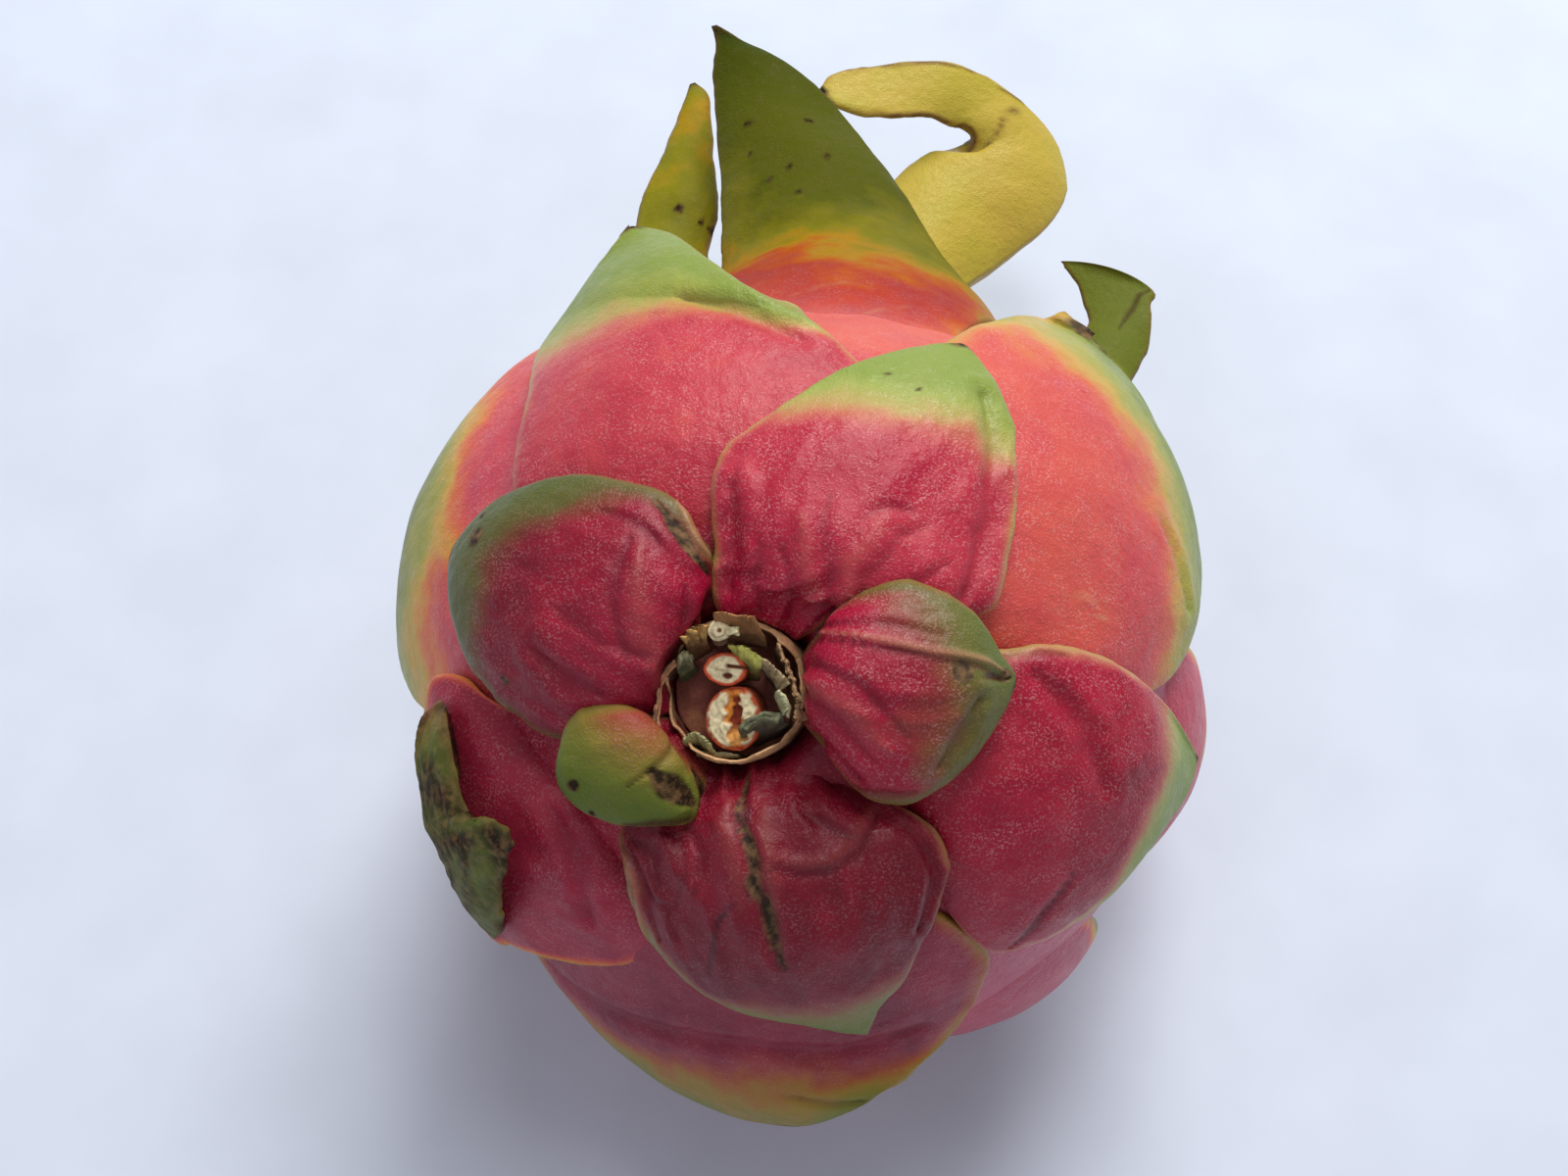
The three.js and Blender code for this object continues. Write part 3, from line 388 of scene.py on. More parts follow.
def over_body(polar, around, height):
    """A place over the body's plain round, in mm in the fruit's own frame."""
    polar, around = np.radians(polar), np.radians(around)
    across, along = np.sin(polar), np.cos(polar)
    slope = np.stack([across / GIRTH_RADIUS, along / HALF_LENGTH])
    slope = slope / np.linalg.norm(slope, axis=0)
    radius = GIRTH_RADIUS * across + slope[0] * height
    return np.stack([radius * np.cos(around), radius * np.sin(around),
                     HALF_LENGTH * along + slope[1] * height], -1)


def between(rows, t):
    """Values at t, counted in rows, on one smooth curve through all rows."""
    rows = np.asarray(rows, float)
    last = len(rows) - 1
    place = np.clip(t, 0, last - 1e-9)
    i = place.astype(int)
    f = (place - i)[:, None]
    b, c = rows[i], rows[i + 1]
    a = np.where((i > 0)[:, None], rows[np.maximum(i - 1, 0)], 2 * b - c)
    d = np.where((i < last - 1)[:, None], rows[np.minimum(i + 2, last)], 2 * c - b)
    return 0.5 * (2 * b + (c - a) * f + (2 * a - 5 * b + 4 * c - d) * f**2
                  + (3 * b - a - 3 * c + d) * f**3)


def flattened(rows):
    """Rows with their angles turned into flat places round the stem end, which mix well."""
    r = np.array(rows, float)
    flat = r.copy()
    for k in (0, 3):
        flat[:, k] = r[:, k] * np.cos(np.radians(r[:, k + 1]))
        flat[:, k + 1] = r[:, k] * np.sin(np.radians(r[:, k + 1]))
    return flat


def face(flat, t, v):
    """The plain face of a scale at t rows from the root and v from -1, left, to 1, right."""
    r = between(flat, t)
    w = ((v + 1) / 2)[:, None]
    mixed = r[:, 0:3] * (1 - w) + r[:, 3:6] * w
    polar = np.hypot(mixed[:, 0], mixed[:, 1])
    around = np.degrees(np.arctan2(mixed[:, 1], mixed[:, 0]))
    return over_body(polar, around, mixed[:, 2])


def laid_down():
    """From the fruit's own frame to how it lies, with the flat spot's middle at the origin."""
    turned = Matrix.Rotation(math.radians(TURN), 4, "Z") @ Matrix.Rotation(math.radians(LEAN), 4, "X")
    axis = turned @ Vector((0, 0, 1))
    stretch = HALF_LENGTH**2 - GIRTH_RADIUS**2
    reach = math.sqrt(GIRTH_RADIUS**2 + stretch * axis.z**2)
    lowest = axis * (-stretch * axis.z / reach) + Vector((0, 0, -(GIRTH_RADIUS**2) / reach))
    return Matrix.Translation((-lowest.x, -lowest.y, -lowest.z - REST_SINK)) @ turned


LAID = laid_down()
LAID_TURN = np.array(LAID.to_3x3())
BODY_CENTRE = np.array(LAID.translation)


def lay(points):
    """Own frame in mm to the row's frame in metres, pressed flat on the surface it rests on."""
    placed = points @ LAID_TURN.T + BODY_CENTRE
    placed[:, 2] = np.maximum(placed[:, 2], 0)
    return placed * MM


def noise(points, size, seed):
    """Smooth value noise from -1 to 1, with lumps of the given size."""
    p = points / size + seed * 17.37
    cell = np.floor(p).astype(np.int64)
    f = p - cell
    f = f * f * (3 - 2 * f)

    def corner(x, y, z):
        h = (cell[:, 0] + x) * 374761393 + (cell[:, 1] + y) * 668265263 + (cell[:, 2] + z) * 2147483647
        h = (h ^ (h >> 13)) * 1274126177
        return ((h ^ (h >> 16)) & 0xFFFF) / 32767.5 - 1

    total = 0
    for x in (0, 1):
        for y in (0, 1):
            for z in (0, 1):
                weight = np.abs(1 - x - f[:, 0]) * np.abs(1 - y - f[:, 1]) * np.abs(1 - z - f[:, 2])
                total = total + corner(x, y, z) * weight
    return total


def smooth(low, high, value):
    """A soft step from 0 at low to 1 at high."""
    x = np.clip((value - low) / (high - low), 0, 1)
    return x * x * (3 - 2 * x)


def on_plane(u, w, depth=0):
    """Places on a plane as points for noise."""
    return np.stack([u, w, 0 * u + depth], -1)


def linked(name, data):
    """A new object of the scene."""
    thing = bpy.data.objects.new(name, data)
    bpy.context.scene.collection.objects.link(thing)
    return thing


def make_mesh(name, points, quads, layers):
    """A piece from points in mm and quads, with what its material reads at each point."""
    mesh = bpy.data.meshes.new(name)
    mesh.from_pydata(lay(points).tolist(), [], quads)
    for key, values in layers.items():
        layer = mesh.attributes.new(key, "FLOAT_VECTOR", "POINT")
        layer.data.foreach_set("vector", np.ascontiguousarray(values, dtype=np.float32).ravel())
    mesh.polygons.foreach_set("use_smooth", [True] * len(mesh.polygons))
    mesh.update()
    return linked(name, mesh)


def grid_normals(points, rows, columns):
    """Outward directions of a grid whose columns run to the right of its rows."""
    p = points.reshape(rows, columns, 3)
    along = np.gradient(p, axis=0)
    across = np.gradient(p, axis=1)
    n = np.cross(across, along)
    n /= np.maximum(np.linalg.norm(n, axis=2, keepdims=True), 1e-9)
    n[-3:] = n[-4]
    return n.reshape(-1, 3)


def closed(rows, columns):
    """Faces of a grid and of a second one under it with the same border, and which points that repeats."""
    index = np.arange(rows * columns).reshape(rows, columns)
    inside = np.zeros((rows, columns), bool)
    inside[1:-1, 1:-1] = True
    under = index.copy()
    under[inside] = rows * columns + np.arange(inside.sum())
    corner = index[:-1, :-1].ravel()
    quads = np.stack([corner, corner + 1, corner + columns + 1, corner + columns], -1)
    return np.concatenate([quads, under.ravel()[quads[:, ::-1]]]).tolist(), inside.ravel()


def line_lift(flat, plain, name):
    """Height, darkness, dryness and paleness that a scale's creases, ridges, scars and spots add; the
    darkness is painted shade in creases, folds and shade lines, and the own dark of cracks, scars and
    spots.
    """
    total = [np.zeros(len(plain)) for _ in range(4)]
    every = [(kind, line) for kind, *lines in LINES.get(name, ()) for line in lines]
    for kind, (width, *places) in every:
        lift, dark_marks_and_shade, dry, pale = LINE_KINDS[kind]
        path = np.reshape(places, (-1, 2)).astype(float)
        steps = np.linspace(0, len(path) - 1, 40) if len(path) > 1 else np.zeros(1)
        t = np.interp(steps, np.arange(len(path)), path[:, 0])
        v = np.interp(steps, np.arange(len(path)), path[:, 1])
        marks = face(flat, t, v)
        near = np.full(len(plain), 1e9)
        at = np.zeros(len(plain))
        for k, point in enumerate(marks):
            away = np.linalg.norm(plain - point, axis=1)
            at = np.where(away < near, k / max(len(marks) - 1, 1), at)
            near = np.minimum(near, away)
        near = near * (1 + 0.3 * noise(plain, 1.4, 5))
        taper = 1 if len(path) == 1 else 0.35 + 0.65 * np.sin(np.pi * np.clip(at, 0.04, 0.96))
        reach = np.exp(-((near / (0.5 * width * taper)) ** 2))
        total[0] += lift * reach
        total[1] = np.maximum(total[1], dark_marks_and_shade * reach)
        total[2] = np.maximum(total[2], dry * smooth(0.3, 0.6, reach))
        total[3] = np.maximum(total[3], pale * reach)
        if kind == "fold":
            total[0] += 0.5 * abs(lift) * np.exp(-(((near - 0.8 * width) / (0.5 * width)) ** 2))
    return total


def scale_relief(look, own, t, last, seed):
    """Height over the plain swelling, in mm: soft lumps, and folds that run out from the root."""
    lumps = 0.32 * noise(own, 11, seed) + 0.16 * noise(own, 5, seed + 3)
    near_root = np.exp(-((t / last / 0.52) ** 2))
    stretched = own * [0.3, 1.0, 1.0]
    fine = noise(stretched, 2.4, seed + 7)
    folds = -np.abs(fine) + 0.5 + 0.45 * noise(stretched, 1.2, seed + 9)
    return lumps + look["folds"] * near_root * folds


def out_of_cup(points):
    """Pushes the points that stand in the dry cup's place out to its side."""
    from_stem = np.hypot(points[:, 0] - CUP_MIDDLE[0], points[:, 1] - CUP_MIDDLE[1])
    close = (from_stem < CUP_RADIUS) & (points[:, 2] > CUP_HEIGHT)
    outward = (points[close, :2] - CUP_MIDDLE) * (CUP_RADIUS / from_stem[close])[:, None]
    points[close, :2] = CUP_MIDDLE + outward
    return points


def scale_piece(name, look, seed, along, across):
    """One scale: a swollen outer face, an inner face and round rims, its root in the body."""
    look = dict(PLAIN_LOOK, **look)
    flat = flattened(look["rows"])
    last = len(flat) - 1
    # t counts rows from the root, v goes from edge to edge, and run is the length along the middle
    t_fine = np.linspace(0, last, 400)
    middle = face(flat, t_fine, np.zeros(400))
    run_fine = np.r_[0, np.cumsum(np.linalg.norm(np.diff(middle, axis=0), axis=1))]
    s = np.linspace(0, 1, along)
    t1 = np.interp((1 - (1 - s) ** 1.15) * run_fine[-1], run_fine, t_fine)
    v1 = np.sin(np.linspace(-math.pi / 2, math.pi / 2, across))
    t, v = (g.ravel() for g in np.meshgrid(t1, v1, indexing="ij"))
    half = np.linalg.norm(face(flat, t, 0 * t + 1) - face(flat, t, 0 * t - 1), axis=1) / 2
    run = np.interp(t, t_fine, run_fine)
    own = np.stack([run, v * half, 0 * t + seed * 40.0], -1)

    # The plain face, with edges that wander a little
    side = own * [1, 0, 1] + np.sign(v)[:, None] * [0, 300, 0]
    wobble = look["ragged"] * noise(side, 3.2, seed)
    wobble += 0.5 * look["ragged"] * noise(side, 1.1, seed + 1)
    wide_v = v * (1 + wobble / np.maximum(half, 3.0) * smooth(0.1, 0.4, t / last))
    plain = face(flat, t, wide_v)
    normals = grid_normals(plain, along, across)
    bulge = between(flat, t)[:, 6]
    lift, dark_marks_and_shade, dry, pale = line_lift(flat, plain, name)
    edge_mm = half * (1 - np.abs(v))
    height = bulge * (1 - v * v) + scale_relief(look, own, t, last, seed) * smooth(0, 2, edge_mm) + lift
    outer = plain + normals * height[:, None]

    # The inner face, and edges rounded towards it
    flesh = look["rim"] + look["flesh"] * (1 - t / last) ** 1.6 * (1 - 0.5 * v * v)
    to_tip = run_fine[-1] - run
    edge = np.minimum(edge_mm, np.minimum(run, to_tip)) / ROUND_WIDTH
    round_off = np.sqrt(np.clip(1 - (1 - np.clip(edge, 0, 1)) ** 2, 0, 1))
    drop = 0.5 * np.minimum(flesh, 2.0)
    top = outer - normals * (drop * (1 - round_off))[:, None]
    under = outer - normals * np.where(edge >= 1, flesh, drop + (flesh - drop) * round_off)[:, None]

    # What the material reads: the share of green, the tone of pink, dry places, and dark marks together
    # with painted shade
    start = np.interp(v, np.linspace(-1, 1, 5), look["green"])
    share = (run - np.interp(start, t_fine, run_fine)) / look["soft"]
    rims = np.where(v < 0, look["rims"][0], look["rims"][1])
    rim_share = (rims * smooth(0.25, 0.55, t / last) - edge_mm) / (0.35 * look["soft"])
    share = np.clip(np.maximum(np.maximum(share, rim_share), look["base"]), -4, 4)
    tone = look["tone"][0] + (look["tone"][1] - look["tone"][0]) * t / last
    tone = tone + 0.07 * noise(own * [0.3, 1, 1], 1.3, seed + 9) + 0.06 * noise(own, 6, seed + 11)
    deep_from, deep_to, deep_share = look["deep"]
    dry = np.maximum(dry, 1 - smooth(0.4, 1.6, to_tip + 0.6 * noise(own, 1.2, seed)))
    dry = np.maximum(dry, look["dry"] * (0.6 + 0.4 * noise(own, 2.5, seed + 5)))
    inner = smooth(0, 0.4, t - look["inner_from"])
    magenta = look["magenta"] * np.exp(-((t / last / 0.42) ** 2))
    layers = dict(
        paint=[share, 0 * t + look["warm"], tone],
        mark=[dry, inner, np.maximum(dark_marks_and_shade, 0) + look["shade"]],
        tint=[magenta, pale, smooth(deep_from, deep_to, t) * deep_share],
        tint2=[0 * t + look["mauve"], smooth(1.2, 0.2, edge_mm), look["painted_shade_dim"] * smooth(0.2, 1.5, t)])
    quads, inside = closed(along, across)
    for key, values in layers.items():
        values = np.stack(values, -1)
        layers[key] = np.concatenate([values, values[inside]])
    layers["mark"][len(inside):, 1] = 1
    points = out_of_cup(np.concatenate([top, under[inside]]))
    return make_mesh("scale_" + name, points, quads, layers)


def body_piece(sides=260, rings=190):
    """The body's skin, drawn in at the stem end and at the blossom end."""
    polar1 = np.linspace(0, 180, rings + 1)[1:-1]
    around1 = np.linspace(0, 360, sides, endpoint=False)
    polar, around = (g.ravel() for g in np.meshgrid(polar1, around1, indexing="ij"))
    polar = np.r_[polar, 0, 180]
    around = np.r_[around, 0, 0]
    plain = over_body(polar, around, 0)
    stem = STEM_HOLLOW["depth"] * np.exp(-((polar / STEM_HOLLOW["spread"]) ** 2))
    stem = stem + CUP_DIG * smooth(CUP_DIG_FROM, CUP_DIG_TO, polar)
    blossom = BLOSSOM_HOLLOW["depth"] * np.exp(-(((180 - polar) / BLOSSOM_HOLLOW["spread"]) ** 2))
    lumps = 0.35 * noise(plain, 14, 2) + 0.15 * noise(plain, 6, 4) - 0.8 * smooth(125, 95, polar)
    points = over_body(polar, around, lumps - stem - blossom)
    rows = len(polar1)
    quads = []
    top, bottom, base = rows * sides, rows * sides + 1, (rows - 1) * sides
    for j in range(sides):
        k = (j + 1) % sides
        quads += [[top, j, k], [bottom, base + k, base + j]]
        quads += [[i + j, i + j + sides, i + k + sides, i + k] for i in range(0, base, sides)]
    flat = np.zeros(len(polar))
    near_stem = smooth(55, 25, polar)
    crown = smooth(48, 60, polar) * smooth(0.2, 0.7, np.cos(np.radians(around - CROWN_SIDE)))
    # The third mark is painted shade, darkening the skin towards the cup where it shows between the scale
    # bases
    layers = dict(
        paint=np.stack([flat - 4, flat + 0.3, 0.42 - 0.3 * near_stem + 0.55 * crown], -1),
        mark=np.stack([flat, flat, 0.7 * smooth(17, 11, polar)], -1),
        tint=np.stack([0.4 * near_stem, flat, flat], -1),
        tint2=np.stack([0.8 * (1 - near_stem) * (1 - crown), flat, flat], -1))
    return make_mesh("body_skin", points, quads, layers)


# How thick a torn piece is, and how far it is raised where nothing else is said, over which heights
# the raising sets in, and how far its colours are brightened, at its edge and at its root
FLAKE_THICK = 0.35
FLAKE_LIFT = 3
LIFTED = (45.5, 50.5)
TOP_BRIGHTER, LOW_BRIGHTER = 1.9, 1.4

# The cut stubs are turned by this much, and have this many rings of faces down their sides
STUB_TURN = math.radians(14)
WALL_RINGS = 4

# The random seed of the first torn piece; the scales' seeds are their own numbers
FLAKE_SEED = 30


def level(height, *places):
    """A path at one height, from its places given in pairs."""
    return [(x, y, height) for x, y in zip(places[::2], places[1::2])]


def flake_piece(name, look, paths, seed, rows=26, columns=60):
    """One torn piece of the dry cup: a sheet over its paths with a ragged free edge."""
    across = np.linspace(0, 1, columns)
    paths = np.stack([between(path, across * (len(path) - 1)) for path in paths])
    down = np.linspace(0, len(paths) - 1, rows)
    grid = np.stack([between(paths[:, k, :], down) for k in range(columns)], 1).reshape(-1, 3)
    s, w = (g.ravel() for g in np.meshgrid(down / (len(paths) - 1), across, indexing="ij"))
    free = len(paths) - 1 - look.get("turned", 0)
    reach = smooth(0, 1, s * (len(paths) - 1) / free)
    walk = on_plane(w * 9, seed * 11 + 0 * w)
    torn = look["ragged"] * (noise(walk, 0.9, seed) + 0.6 * noise(walk, 0.35, seed + 1))
    grid[:, 2] += torn * reach + look.get("lift", FLAKE_LIFT) * smooth(*LIFTED, grid[:, 2])
    grid += 0.16 * np.stack([noise(grid, 1.1, seed + n) for n in (2, 3, 4)], -1)
    grid += 0.05 * noise(grid, 0.35, seed + 6)[:, None]
    high = np.array(colour(*look["top"])[:3]) * TOP_BRIGHTER
    low = np.array(colour(*look["low"])[:3]) * LOW_BRIGHTER
    share = smooth(0.2, 1, s + 0.25 * noise(grid, 0.8, seed + 7))[:, None]
    streaks = 1 + 0.22 * noise(grid * [1, 1, 0.25], 0.28, seed + 8)[:, None]
    hues = (low * (1 - share) + high * share) * streaks
    quads, inside = closed(rows, columns)
    under = grid - grid_normals(grid, rows, columns) * look.get("thick", FLAKE_THICK)
    return make_mesh("stem_" + name, np.concatenate([grid, under[inside]]), quads,
                     dict(hue=np.concatenate([hues, hues[inside]])))


def stub_piece(name, place, low, size, paint, rings=30, sides=72, dome=0.25):
    """A cut stub seen on its end: a round section painted by its own places, and a side wall."""
    turn_cos, turn_sin = math.cos(STUB_TURN), math.sin(STUB_TURN)
    angle = np.linspace(0, 2 * math.pi, sides, endpoint=False)
    hue, lift = paint(np.zeros((1, 2)))
    points = [np.array([[place[0], place[1], place[2] + dome + lift[0]]])]
    hues = [hue]
    shape = 1 + 0.06 * noise(on_plane(2.2 * np.cos(angle), 2.2 * np.sin(angle), place[0]), 1, 3)
    end = rings - WALL_RINGS
    for ring in range(1, rings + 1):
        r = min(ring / end, 1)
        uw = np.stack([r * np.cos(angle), r * np.sin(angle)], -1)
        x, y = uw[:, 0] * size[0] * shape, uw[:, 1] * size[1] * shape
        hue, lift = paint(uw)
        z = place[2] + dome * (1 - r * r) + lift * (r < 1)
        if ring > end:
            z = place[2] + (low - place[2]) * (ring - end) / WALL_RINGS + 0 * x
            # Painted shade: the side wall is the section's edge colour at half brightness
            hue = hue * 0.5
        points.append(np.stack([place[0] + x * turn_cos - y * turn_sin,
                                place[1] + x * turn_sin + y * turn_cos, z], -1))
        hues.append(hue)
    quads = []
    for j in range(sides):
        k = (j + 1) % sides
        quads.append([0, 1 + j, 1 + k])
        for ring in range(rings - 1):
            a, b = 1 + ring * sides + j, 1 + ring * sides + k
            quads.append([a, a + sides, b + sides, b])
    quads.append([1 + (rings - 1) * sides + j for j in reversed(range(sides))])
    return make_mesh("stem_" + name, np.concatenate(points), quads, dict(hue=np.concatenate(hues)))


def shades(uw, *layers):
    """Colours for places on a section: each layer is a share and a colour laid over the last."""
    hue = np.zeros((len(uw), 3))
    for share, rgb in layers:
        share = np.broadcast_to(share, len(uw))[:, None]
        hue = hue * (1 - share) + np.array(colour(*rgb)[:3]) * share
    return hue * (1 + 0.25 * noise(on_plane(*uw.T), 0.16, 4)[:, None])


# The cut sections: each takes places from -1 to 1 and gives their colours and heights in mm
PITH, CUT_RIM = (244, 228, 184), (218, 84, 44)


def small_section(uw):
    u, w = uw.T
    r = np.hypot(u, w) + 0.06 * noise(on_plane(u, w), 0.3, 9)
    rim = smooth(0.72, 0.86, r)
    groove = smooth(0.16, 0.06, np.abs(w - 0.2 + 0.1 * u)) * smooth(0.0, 0.15, u)
    pit = smooth(0.3, 0.15, np.hypot(u - 0.12, (w + 0.4) * 1.3))
    second = smooth(0.13, 0.05, np.abs(w + 0.08 + 0.12 * u)) * smooth(0.3, 0.1, u) * smooth(-0.6, -0.3, u)
    hue = shades(uw, (1, PITH), (0.6 * second, (150, 120, 80)), (rim, CUT_RIM),
                 (groove, (120, 58, 34)), (pit, (104, 40, 24)))
    return hue, 0.12 * rim - 0.5 * groove - 0.5 * pit


def large_section(uw):
    u, w = uw.T
    saw = 0.17 * noise(on_plane(0 * u, w, np.sign(u) * 5), 0.13, 12)
    fine = 0.1 * noise(on_plane(u, w), 0.12, 13)
    middle = smooth(0.36, 0.2, np.abs(u - 0.05 + 0.12 * w) + saw + fine)
    band = smooth(0.2, 0.1, np.abs(u - 0.1 - 0.06 * np.sin(6 * w)) + saw)
    band = band * smooth(-0.5, -0.1, w) * smooth(0.8, 0.62, w)
    rim = smooth(0.84, 0.95, np.hypot(u, w) + fine)
    hue = shades(uw, (1, PITH), (middle, (226, 140, 48)), (middle * smooth(0.1, -0.7, w), (232, 168, 88)),
                 (band, (132, 44, 16)), (rim, (206, 84, 44)))
    return hue, 0.45 * (1 - middle) - 0.5 * band - 0.4 * rim + 2.2 * fine


def bead_section(uw):
    u, w = uw.T
    dimple = smooth(0.3, 0.12, np.hypot(u - 0.1, w - 0.02))
    ring = smooth(0.12, 0.04, np.abs(np.hypot(u, w) - 0.62)) * smooth(0.5, -0.2, w)
    hue = shades(uw, (1, (240, 224, 180)), (0.6 * ring, (150, 104, 70)), (dimple, (130, 78, 48)))
    return hue, -0.25 * dimple


def plain_section(uw):
    return shades(uw, (1, (112, 78, 52))), 0 * uw[:, 0]


def floor_section(uw):
    spot = on_plane(*uw.T)
    hue = shades(uw, (1, (150, 84, 72)), (smooth(0, 0.6, noise(spot, 0.25, 21)), (176, 112, 80)))
    return hue, 0.35 * noise(spot, 0.12, 22)


class Nodes:
    """Short calls for building a node material."""

    def __init__(self, name):
        self.material = bpy.data.materials.new(name)
        self.material.use_nodes = True
        self.tree = self.material.node_tree
        self.shader = self.tree.nodes["Principled BSDF"]

    def new(self, kind, inputs=(), **settings):
        node = self.tree.nodes.new(kind)
        for key, value in settings.items():
            setattr(node, key, value)
        for key, value in dict(inputs).items():
            self.feed(node.inputs[key], value)
        return node

    def feed(self, socket, value):
        """Sets an input from another node's output, a colour of three numbers or a plain value."""
        if isinstance(value, bpy.types.NodeSocket):
            self.tree.links.new(value, socket)
        else:
            socket.default_value = colour(*value) if isinstance(value, tuple) else value

    def attribute(self, name):
        vector = self.new("ShaderNodeAttribute", attribute_name=name).outputs["Vector"]
        return tuple(self.new("ShaderNodeSeparateXYZ", {0: vector}).outputs)

    def plus(self, a, b):
        return self.new("ShaderNodeMath", {0: a, 1: b}, operation="ADD").outputs[0]

    def times(self, a, b):
        return self.new("ShaderNodeMath", {0: a, 1: b}, operation="MULTIPLY").outputs[0]

    def spread(self, value, low, high, to_low=0.0, to_high=1.0):
        node = self.new("ShaderNodeMapRange", {"Value": value, "From Min": low, "From Max": high,
                                               "To Min": to_low, "To Max": to_high})
        return node.outputs["Result"]

    def stirred(self, value, noise, reach):
        """The value, moved up and down by as much as reach."""
        return self.plus(value, self.spread(noise, 0.3, 0.7, -reach, reach))

    def mix(self, share, a, b):
        node = self.new("ShaderNodeMix", data_type="RGBA")
        self.feed(node.inputs["Factor"], share)
        self.feed(node.inputs["A"], a)
        self.feed(node.inputs["B"], b)
        return node.outputs["Result"]

    def ramp(self, value, *stops):
        """Colours along a value: each stop is a place and then red, green and blue."""
        node = self.new("ShaderNodeValToRGB", {"Fac": value})
        while len(node.color_ramp.elements) < len(stops):
            node.color_ramp.elements.new(0.5)
        for element, (place, *rgb) in zip(node.color_ramp.elements, stops):
            element.position = place
            element.color = colour(*rgb)
        return node.outputs["Color"]

    def noise(self, vector, scale, detail=2.0, roughness=0.5):
        node = self.new("ShaderNodeTexNoise", {"Vector": vector, "Scale": scale, "Detail": detail,
                                               "Roughness": roughness})
        return node.outputs["Fac"]

    def coords(self):
        return self.new("ShaderNodeTexCoord").outputs["Object"]

    def bump(self, height, strength, distance):
        node = self.new("ShaderNodeBump", {"Height": height, "Strength": strength, "Distance": distance})
        return node.outputs["Normal"]

    def finished(self, inputs):
        for key, value in inputs.items():
            self.feed(self.shader.inputs[key], value)
        return self.material


def colour(red, green, blue):
    """A colour given as it looks on screen, 0 to 255, as linear light."""
    def linear(c):
        c /= 255
        return c / 12.92 if c <= 0.04045 else ((c + 0.055) / 1.055) ** 2.4
    return linear(red), linear(green), linear(blue), 1


def skin_material():
    m = Nodes("fruit_skin")
    share, warm, tone = m.attribute("paint")
    dry, inner, dark_marks_and_shade = m.attribute("mark")
    magenta, pale, deep = m.attribute("tint")
    mauve, rim, painted_shade_dim = m.attribute("tint2")
    coords = m.coords()
    wide = m.noise(coords, 70, 3)
    mid = m.noise(coords, 260, 3)
    share = m.spread(m.stirred(m.stirred(share, wide, 0.45), mid, 0.18), -1.4, 1.4)
    tone = m.stirred(m.stirred(tone, wide, 0.12), mid, 0.05)
    pink = m.ramp(tone, (0, 118, 4, 28), (0.3, 166, 16, 48), (0.6, 192, 60, 72), (1, 212, 90, 72))
    pink = m.mix(magenta, pink, (168, 6, 56))
    pink = m.mix(m.times(mauve, 0.5), pink, (196, 92, 128))
    warm_rim = m.ramp(share, (0, 214, 60, 60), (0.2, 222, 62, 28), (0.36, 228, 108, 14),
                      (0.5, 216, 160, 20), (0.7, 160, 154, 30), (1, 108, 116, 24))
    cool_rim = m.ramp(share, (0, 198, 76, 84), (0.3, 190, 112, 84), (0.5, 172, 154, 86),
                      (0.75, 150, 162, 74), (1, 132, 152, 62))
    green = m.mix(warm, cool_rim, warm_rim)
    green = m.mix(deep, green, (66, 84, 16))
    skin = m.mix(m.spread(share, 0.02, 0.36), pink, green)
    patches = m.spread(m.noise(coords, 330, 2), 0.35, 0.7, 0.15, 1.0)
    # Pale flecks, partly the skin's own stipple and partly painted glints on its fine pebbling, fewer on
    # green and where shade is painted
    flecks_and_glints = m.spread(m.noise(coords, 3600, 1), 0.5, 0.7, 0, 0.42)
    on_pink = m.times(m.spread(share, 0.25, 0.6, 1, 0.3), m.spread(dark_marks_and_shade, 0, 0.5, 1, 0.45))
    fleck_and_glint_share = m.times(m.times(flecks_and_glints, patches), on_pink)
    skin = m.mix(fleck_and_glint_share, skin, (232, 170, 168))
    skin = m.mix(m.times(pale, 0.7), skin, (214, 150, 116))
    inside = m.ramp(share, (0, 214, 130, 110), (0.4, 214, 178, 80), (1, 190, 180, 56))
    skin = m.mix(inner, skin, inside)
    skin = m.mix(m.times(rim, 0.3), skin, (178, 120, 76))
    # Painted shade in creases, folds and on the shaded scales, with the own dark of cracks, scars and
    # spots
    skin = m.mix(m.times(dark_marks_and_shade, 0.8), skin, (74, 12, 26))
    brown = m.mix(m.spread(m.noise(coords, 900, 3), 0.42, 0.66), (46, 32, 18), (122, 92, 60))
    skin = m.mix(dry, skin, brown)
    # Painted shade: the dimmed scales darken towards near black from the root up
    skin = m.mix(painted_shade_dim, skin, (24, 14, 0))
    rough = m.spread(m.noise(coords, 500, 2), 0.3, 0.7, 0.32, 0.46)
    height = m.plus(m.times(flecks_and_glints, 0.5), m.times(m.noise(coords, 700, 3), 1.2))
    return m.finished({"Base Color": skin, "Roughness": m.plus(rough, m.times(dry, 0.35)),
                       "Specular IOR Level": m.spread(painted_shade_dim, 0, 0.4, 0.3, 0.02),
                       "Normal": m.bump(height, 0.5, 0.0004)})


def dry_material():
    m = Nodes("dry_stem")
    hue = m.new("ShaderNodeAttribute", attribute_name="hue").outputs["Color"]
    coords = m.coords()
    grain = m.noise(coords, 2200, 4, 0.6)
    hue = m.mix(m.spread(grain, 0.4, 0.7, 0, 0.3), hue, (60, 40, 28))
    return m.finished({"Base Color": hue, "Roughness": 0.8, "Normal": m.bump(grain, 0.6, 0.0003)})


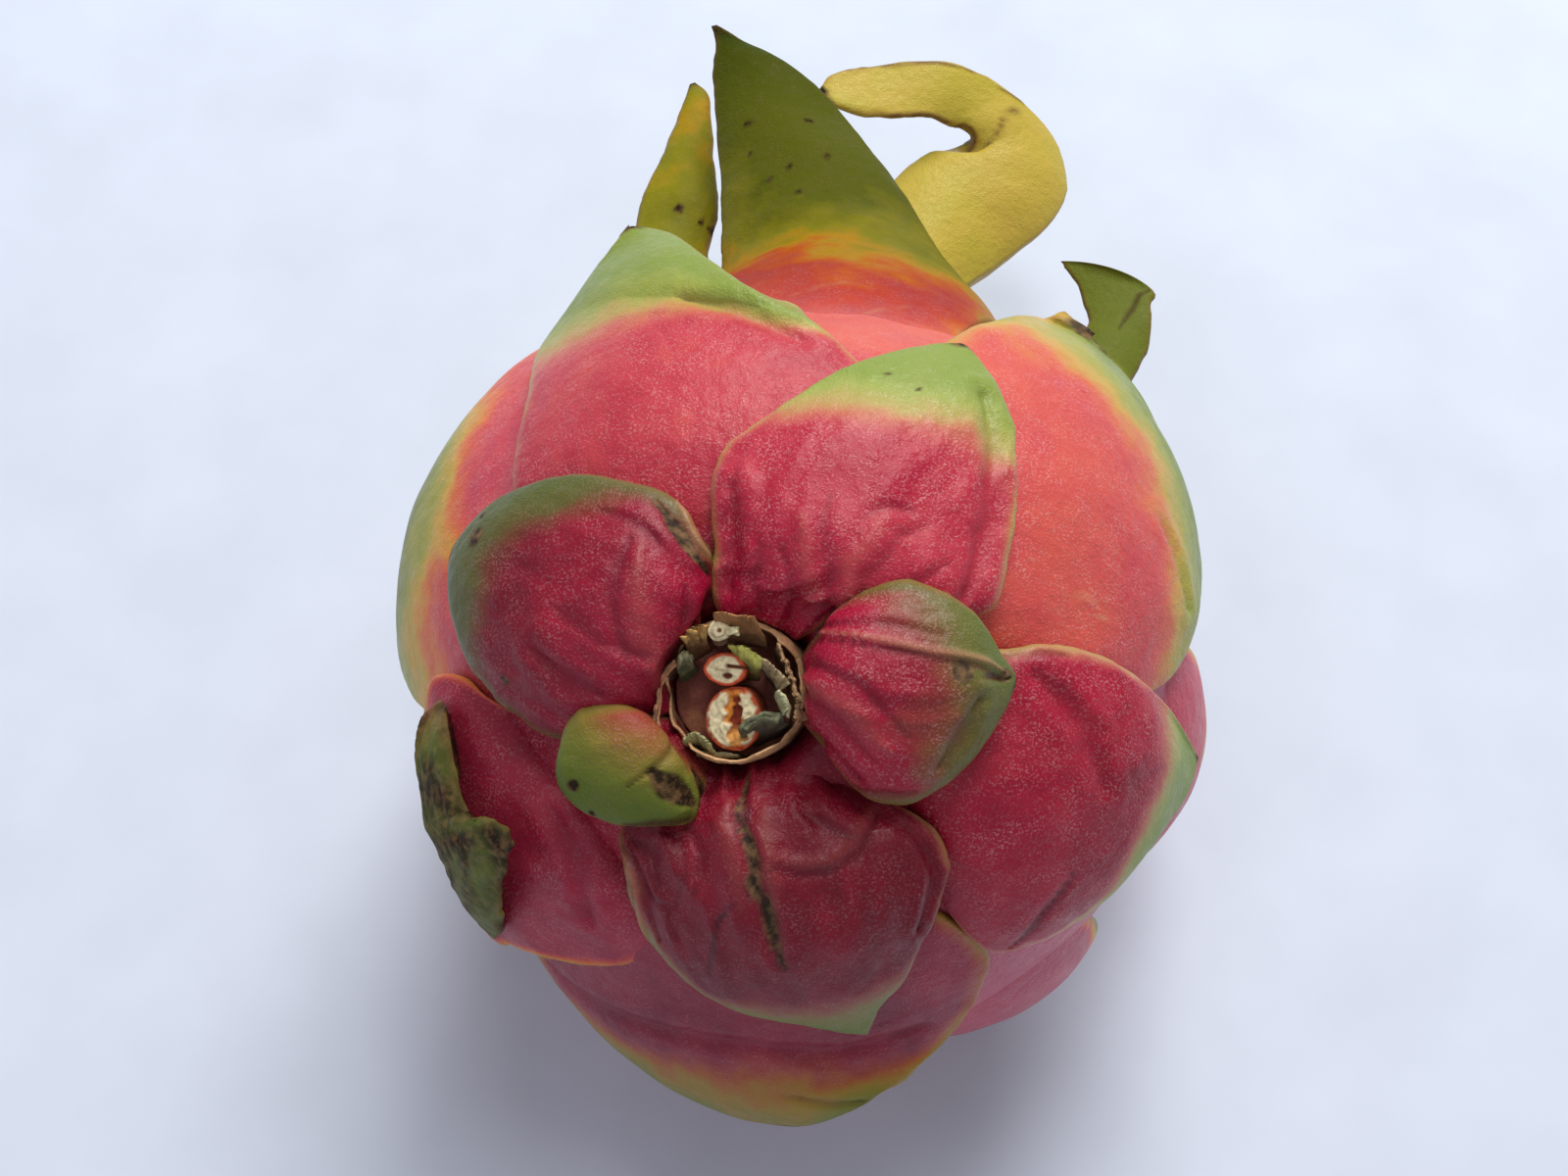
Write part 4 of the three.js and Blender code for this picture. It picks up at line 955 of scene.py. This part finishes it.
def floor_material():
    m = Nodes("floor_cloth")
    cloth = list(colour(214, 223, 239))
    in_shade = [c * 0.82 for c in cloth[:3]] + [1]
    grain = m.noise(m.coords(), 40, 3)
    return m.finished({"Base Color": m.mix(grain, in_shade, cloth), "Roughness": 0.9})


# The floor, lights and camera
def add_floor():
    bpy.ops.mesh.primitive_plane_add(size=6, location=(0, 0, -0.0002))
    floor = bpy.context.object
    floor.name = "floor"
    floor.data.materials.append(floor_material())


def add_light(name, place, aim, size, power, tint):
    data = bpy.data.lights.new(name, "AREA")
    data.shape = "DISK"
    data.size = size
    data.energy = power
    data.color = tint
    light = linked(name, data)
    light.location = place
    light.rotation_euler = (Vector(aim) - Vector(place)).to_track_quat("-Z", "Y").to_euler()


def add_camera():
    """Looks along +Y and down as the photograph does, with the body's middle where it shows it."""
    elevation = math.radians(60)
    distance, lens, sensor = 0.283, 50.0, 36.0
    image = (1600, 1200)
    body_pixel = (828, 686)
    focal = lens / sensor * image[0]
    up = Vector((0, math.sin(elevation), math.cos(elevation)))
    back = Vector((0, -math.cos(elevation), math.sin(elevation)))
    aside, below = ((body_pixel[k] - image[k] / 2) * distance / focal for k in (0, 1))
    data = bpy.data.cameras.new("camera")
    data.lens = lens
    data.sensor_width = sensor
    data.clip_start = 0.01
    camera = linked("camera", data)
    camera.location = Vector(BODY_CENTRE) * MM + back * distance + up * below - Vector((aside, 0, 0))
    camera.rotation_euler = (math.radians(90) - elevation, 0, 0)
    bpy.context.scene.camera = camera


def add_world():
    world = bpy.data.worlds.new("sky")
    world.use_nodes = True
    background = world.node_tree.nodes["Background"]
    background.inputs["Color"].default_value = (0.93, 0.95, 1.0, 1)
    background.inputs["Strength"].default_value = 0.42
    bpy.context.scene.world = world


bpy.context.scene.view_settings.view_transform = "Standard"
add_camera()
add_world()
add_floor()
add_light("window", (0.25, 0.75, 0.95), (0, 0, 0.04), 0.7, 12.6, (1.0, 0.98, 0.95))
add_light("above", (0.05, 0.12, 1.2), (0, 0, 0.06), 0.35, 2.8, (1.0, 0.99, 0.97))
add_light("fill", (-0.6, -0.7, 0.8), (0, 0, 0.04), 1.0, 0.7, (0.86, 0.9, 1.0))

SKIN = skin_material()
for number, (scale_name, scale_look) in enumerate(SCALES.items()):
    grid = FINE_GRID if scale_name.endswith("ring") else COARSE_GRID
    scale = scale_piece(scale_name, scale_look, number + 1, *grid)
    scale.data.materials.append(SKIN)
    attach(scale, "root")
body = body_piece()
body.data.materials.append(SKIN)
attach(body, "root")
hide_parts("fruit")

# The cup's low wall: a loop of a wall, torn higher and lower along its top
DRY = dry_material()
loop = np.radians(np.arange(0, 361, 5))
tears = 0.8 * (loop * 1.75 % 1) ** 1.5 + 0.5 * (loop * 2.7 % 1)
wall = [[(r * math.cos(a) - 0.45, r * math.sin(a) - 0.1, z + torn * tear) for a, tear in zip(loop, tears)]
        for r, z, torn in ((8.0, 43, 0), (7.9, 47, 0), (7.8, 49.4, 0.9), (7.4, 50.0, 2.0))]
stem_pieces = [flake_piece(key, look, [level(*path) for path in look["paths"]], FLAKE_SEED + n)
               for n, (key, look) in enumerate(FLAKES.items())]
stem_pieces += [
    flake_piece("low_wall", dict(lift=1.6, top=(180, 142, 102), low=(84, 56, 42), thick=0.3, ragged=2),
                wall, FLAKE_SEED + len(FLAKES)),
    stub_piece("floor", (-0.2, 0, 48.2), 43.0, (7.4, 7.4), floor_section, dome=0),
    stub_piece("small_section", (-1.8, 1.9, 53.4), 45.5, (2.25, 1.75), small_section),
    stub_piece("large_section", (0.4, -3.0, 53.0), 45.5, (3.0, 3.4), large_section),
    stub_piece("bead_stalk", (-3.0, 5.0, 54.6), 45.5, (0.85, 0.85), plain_section),
    stub_piece("bead", (-3.1, 5.8, 55.8), 54.4, (1.15, 1.1), bead_section, dome=0.5),
]
for piece in stem_pieces:
    piece.data.materials.append(DRY)
    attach(piece, "root")
    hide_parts("stem_end")
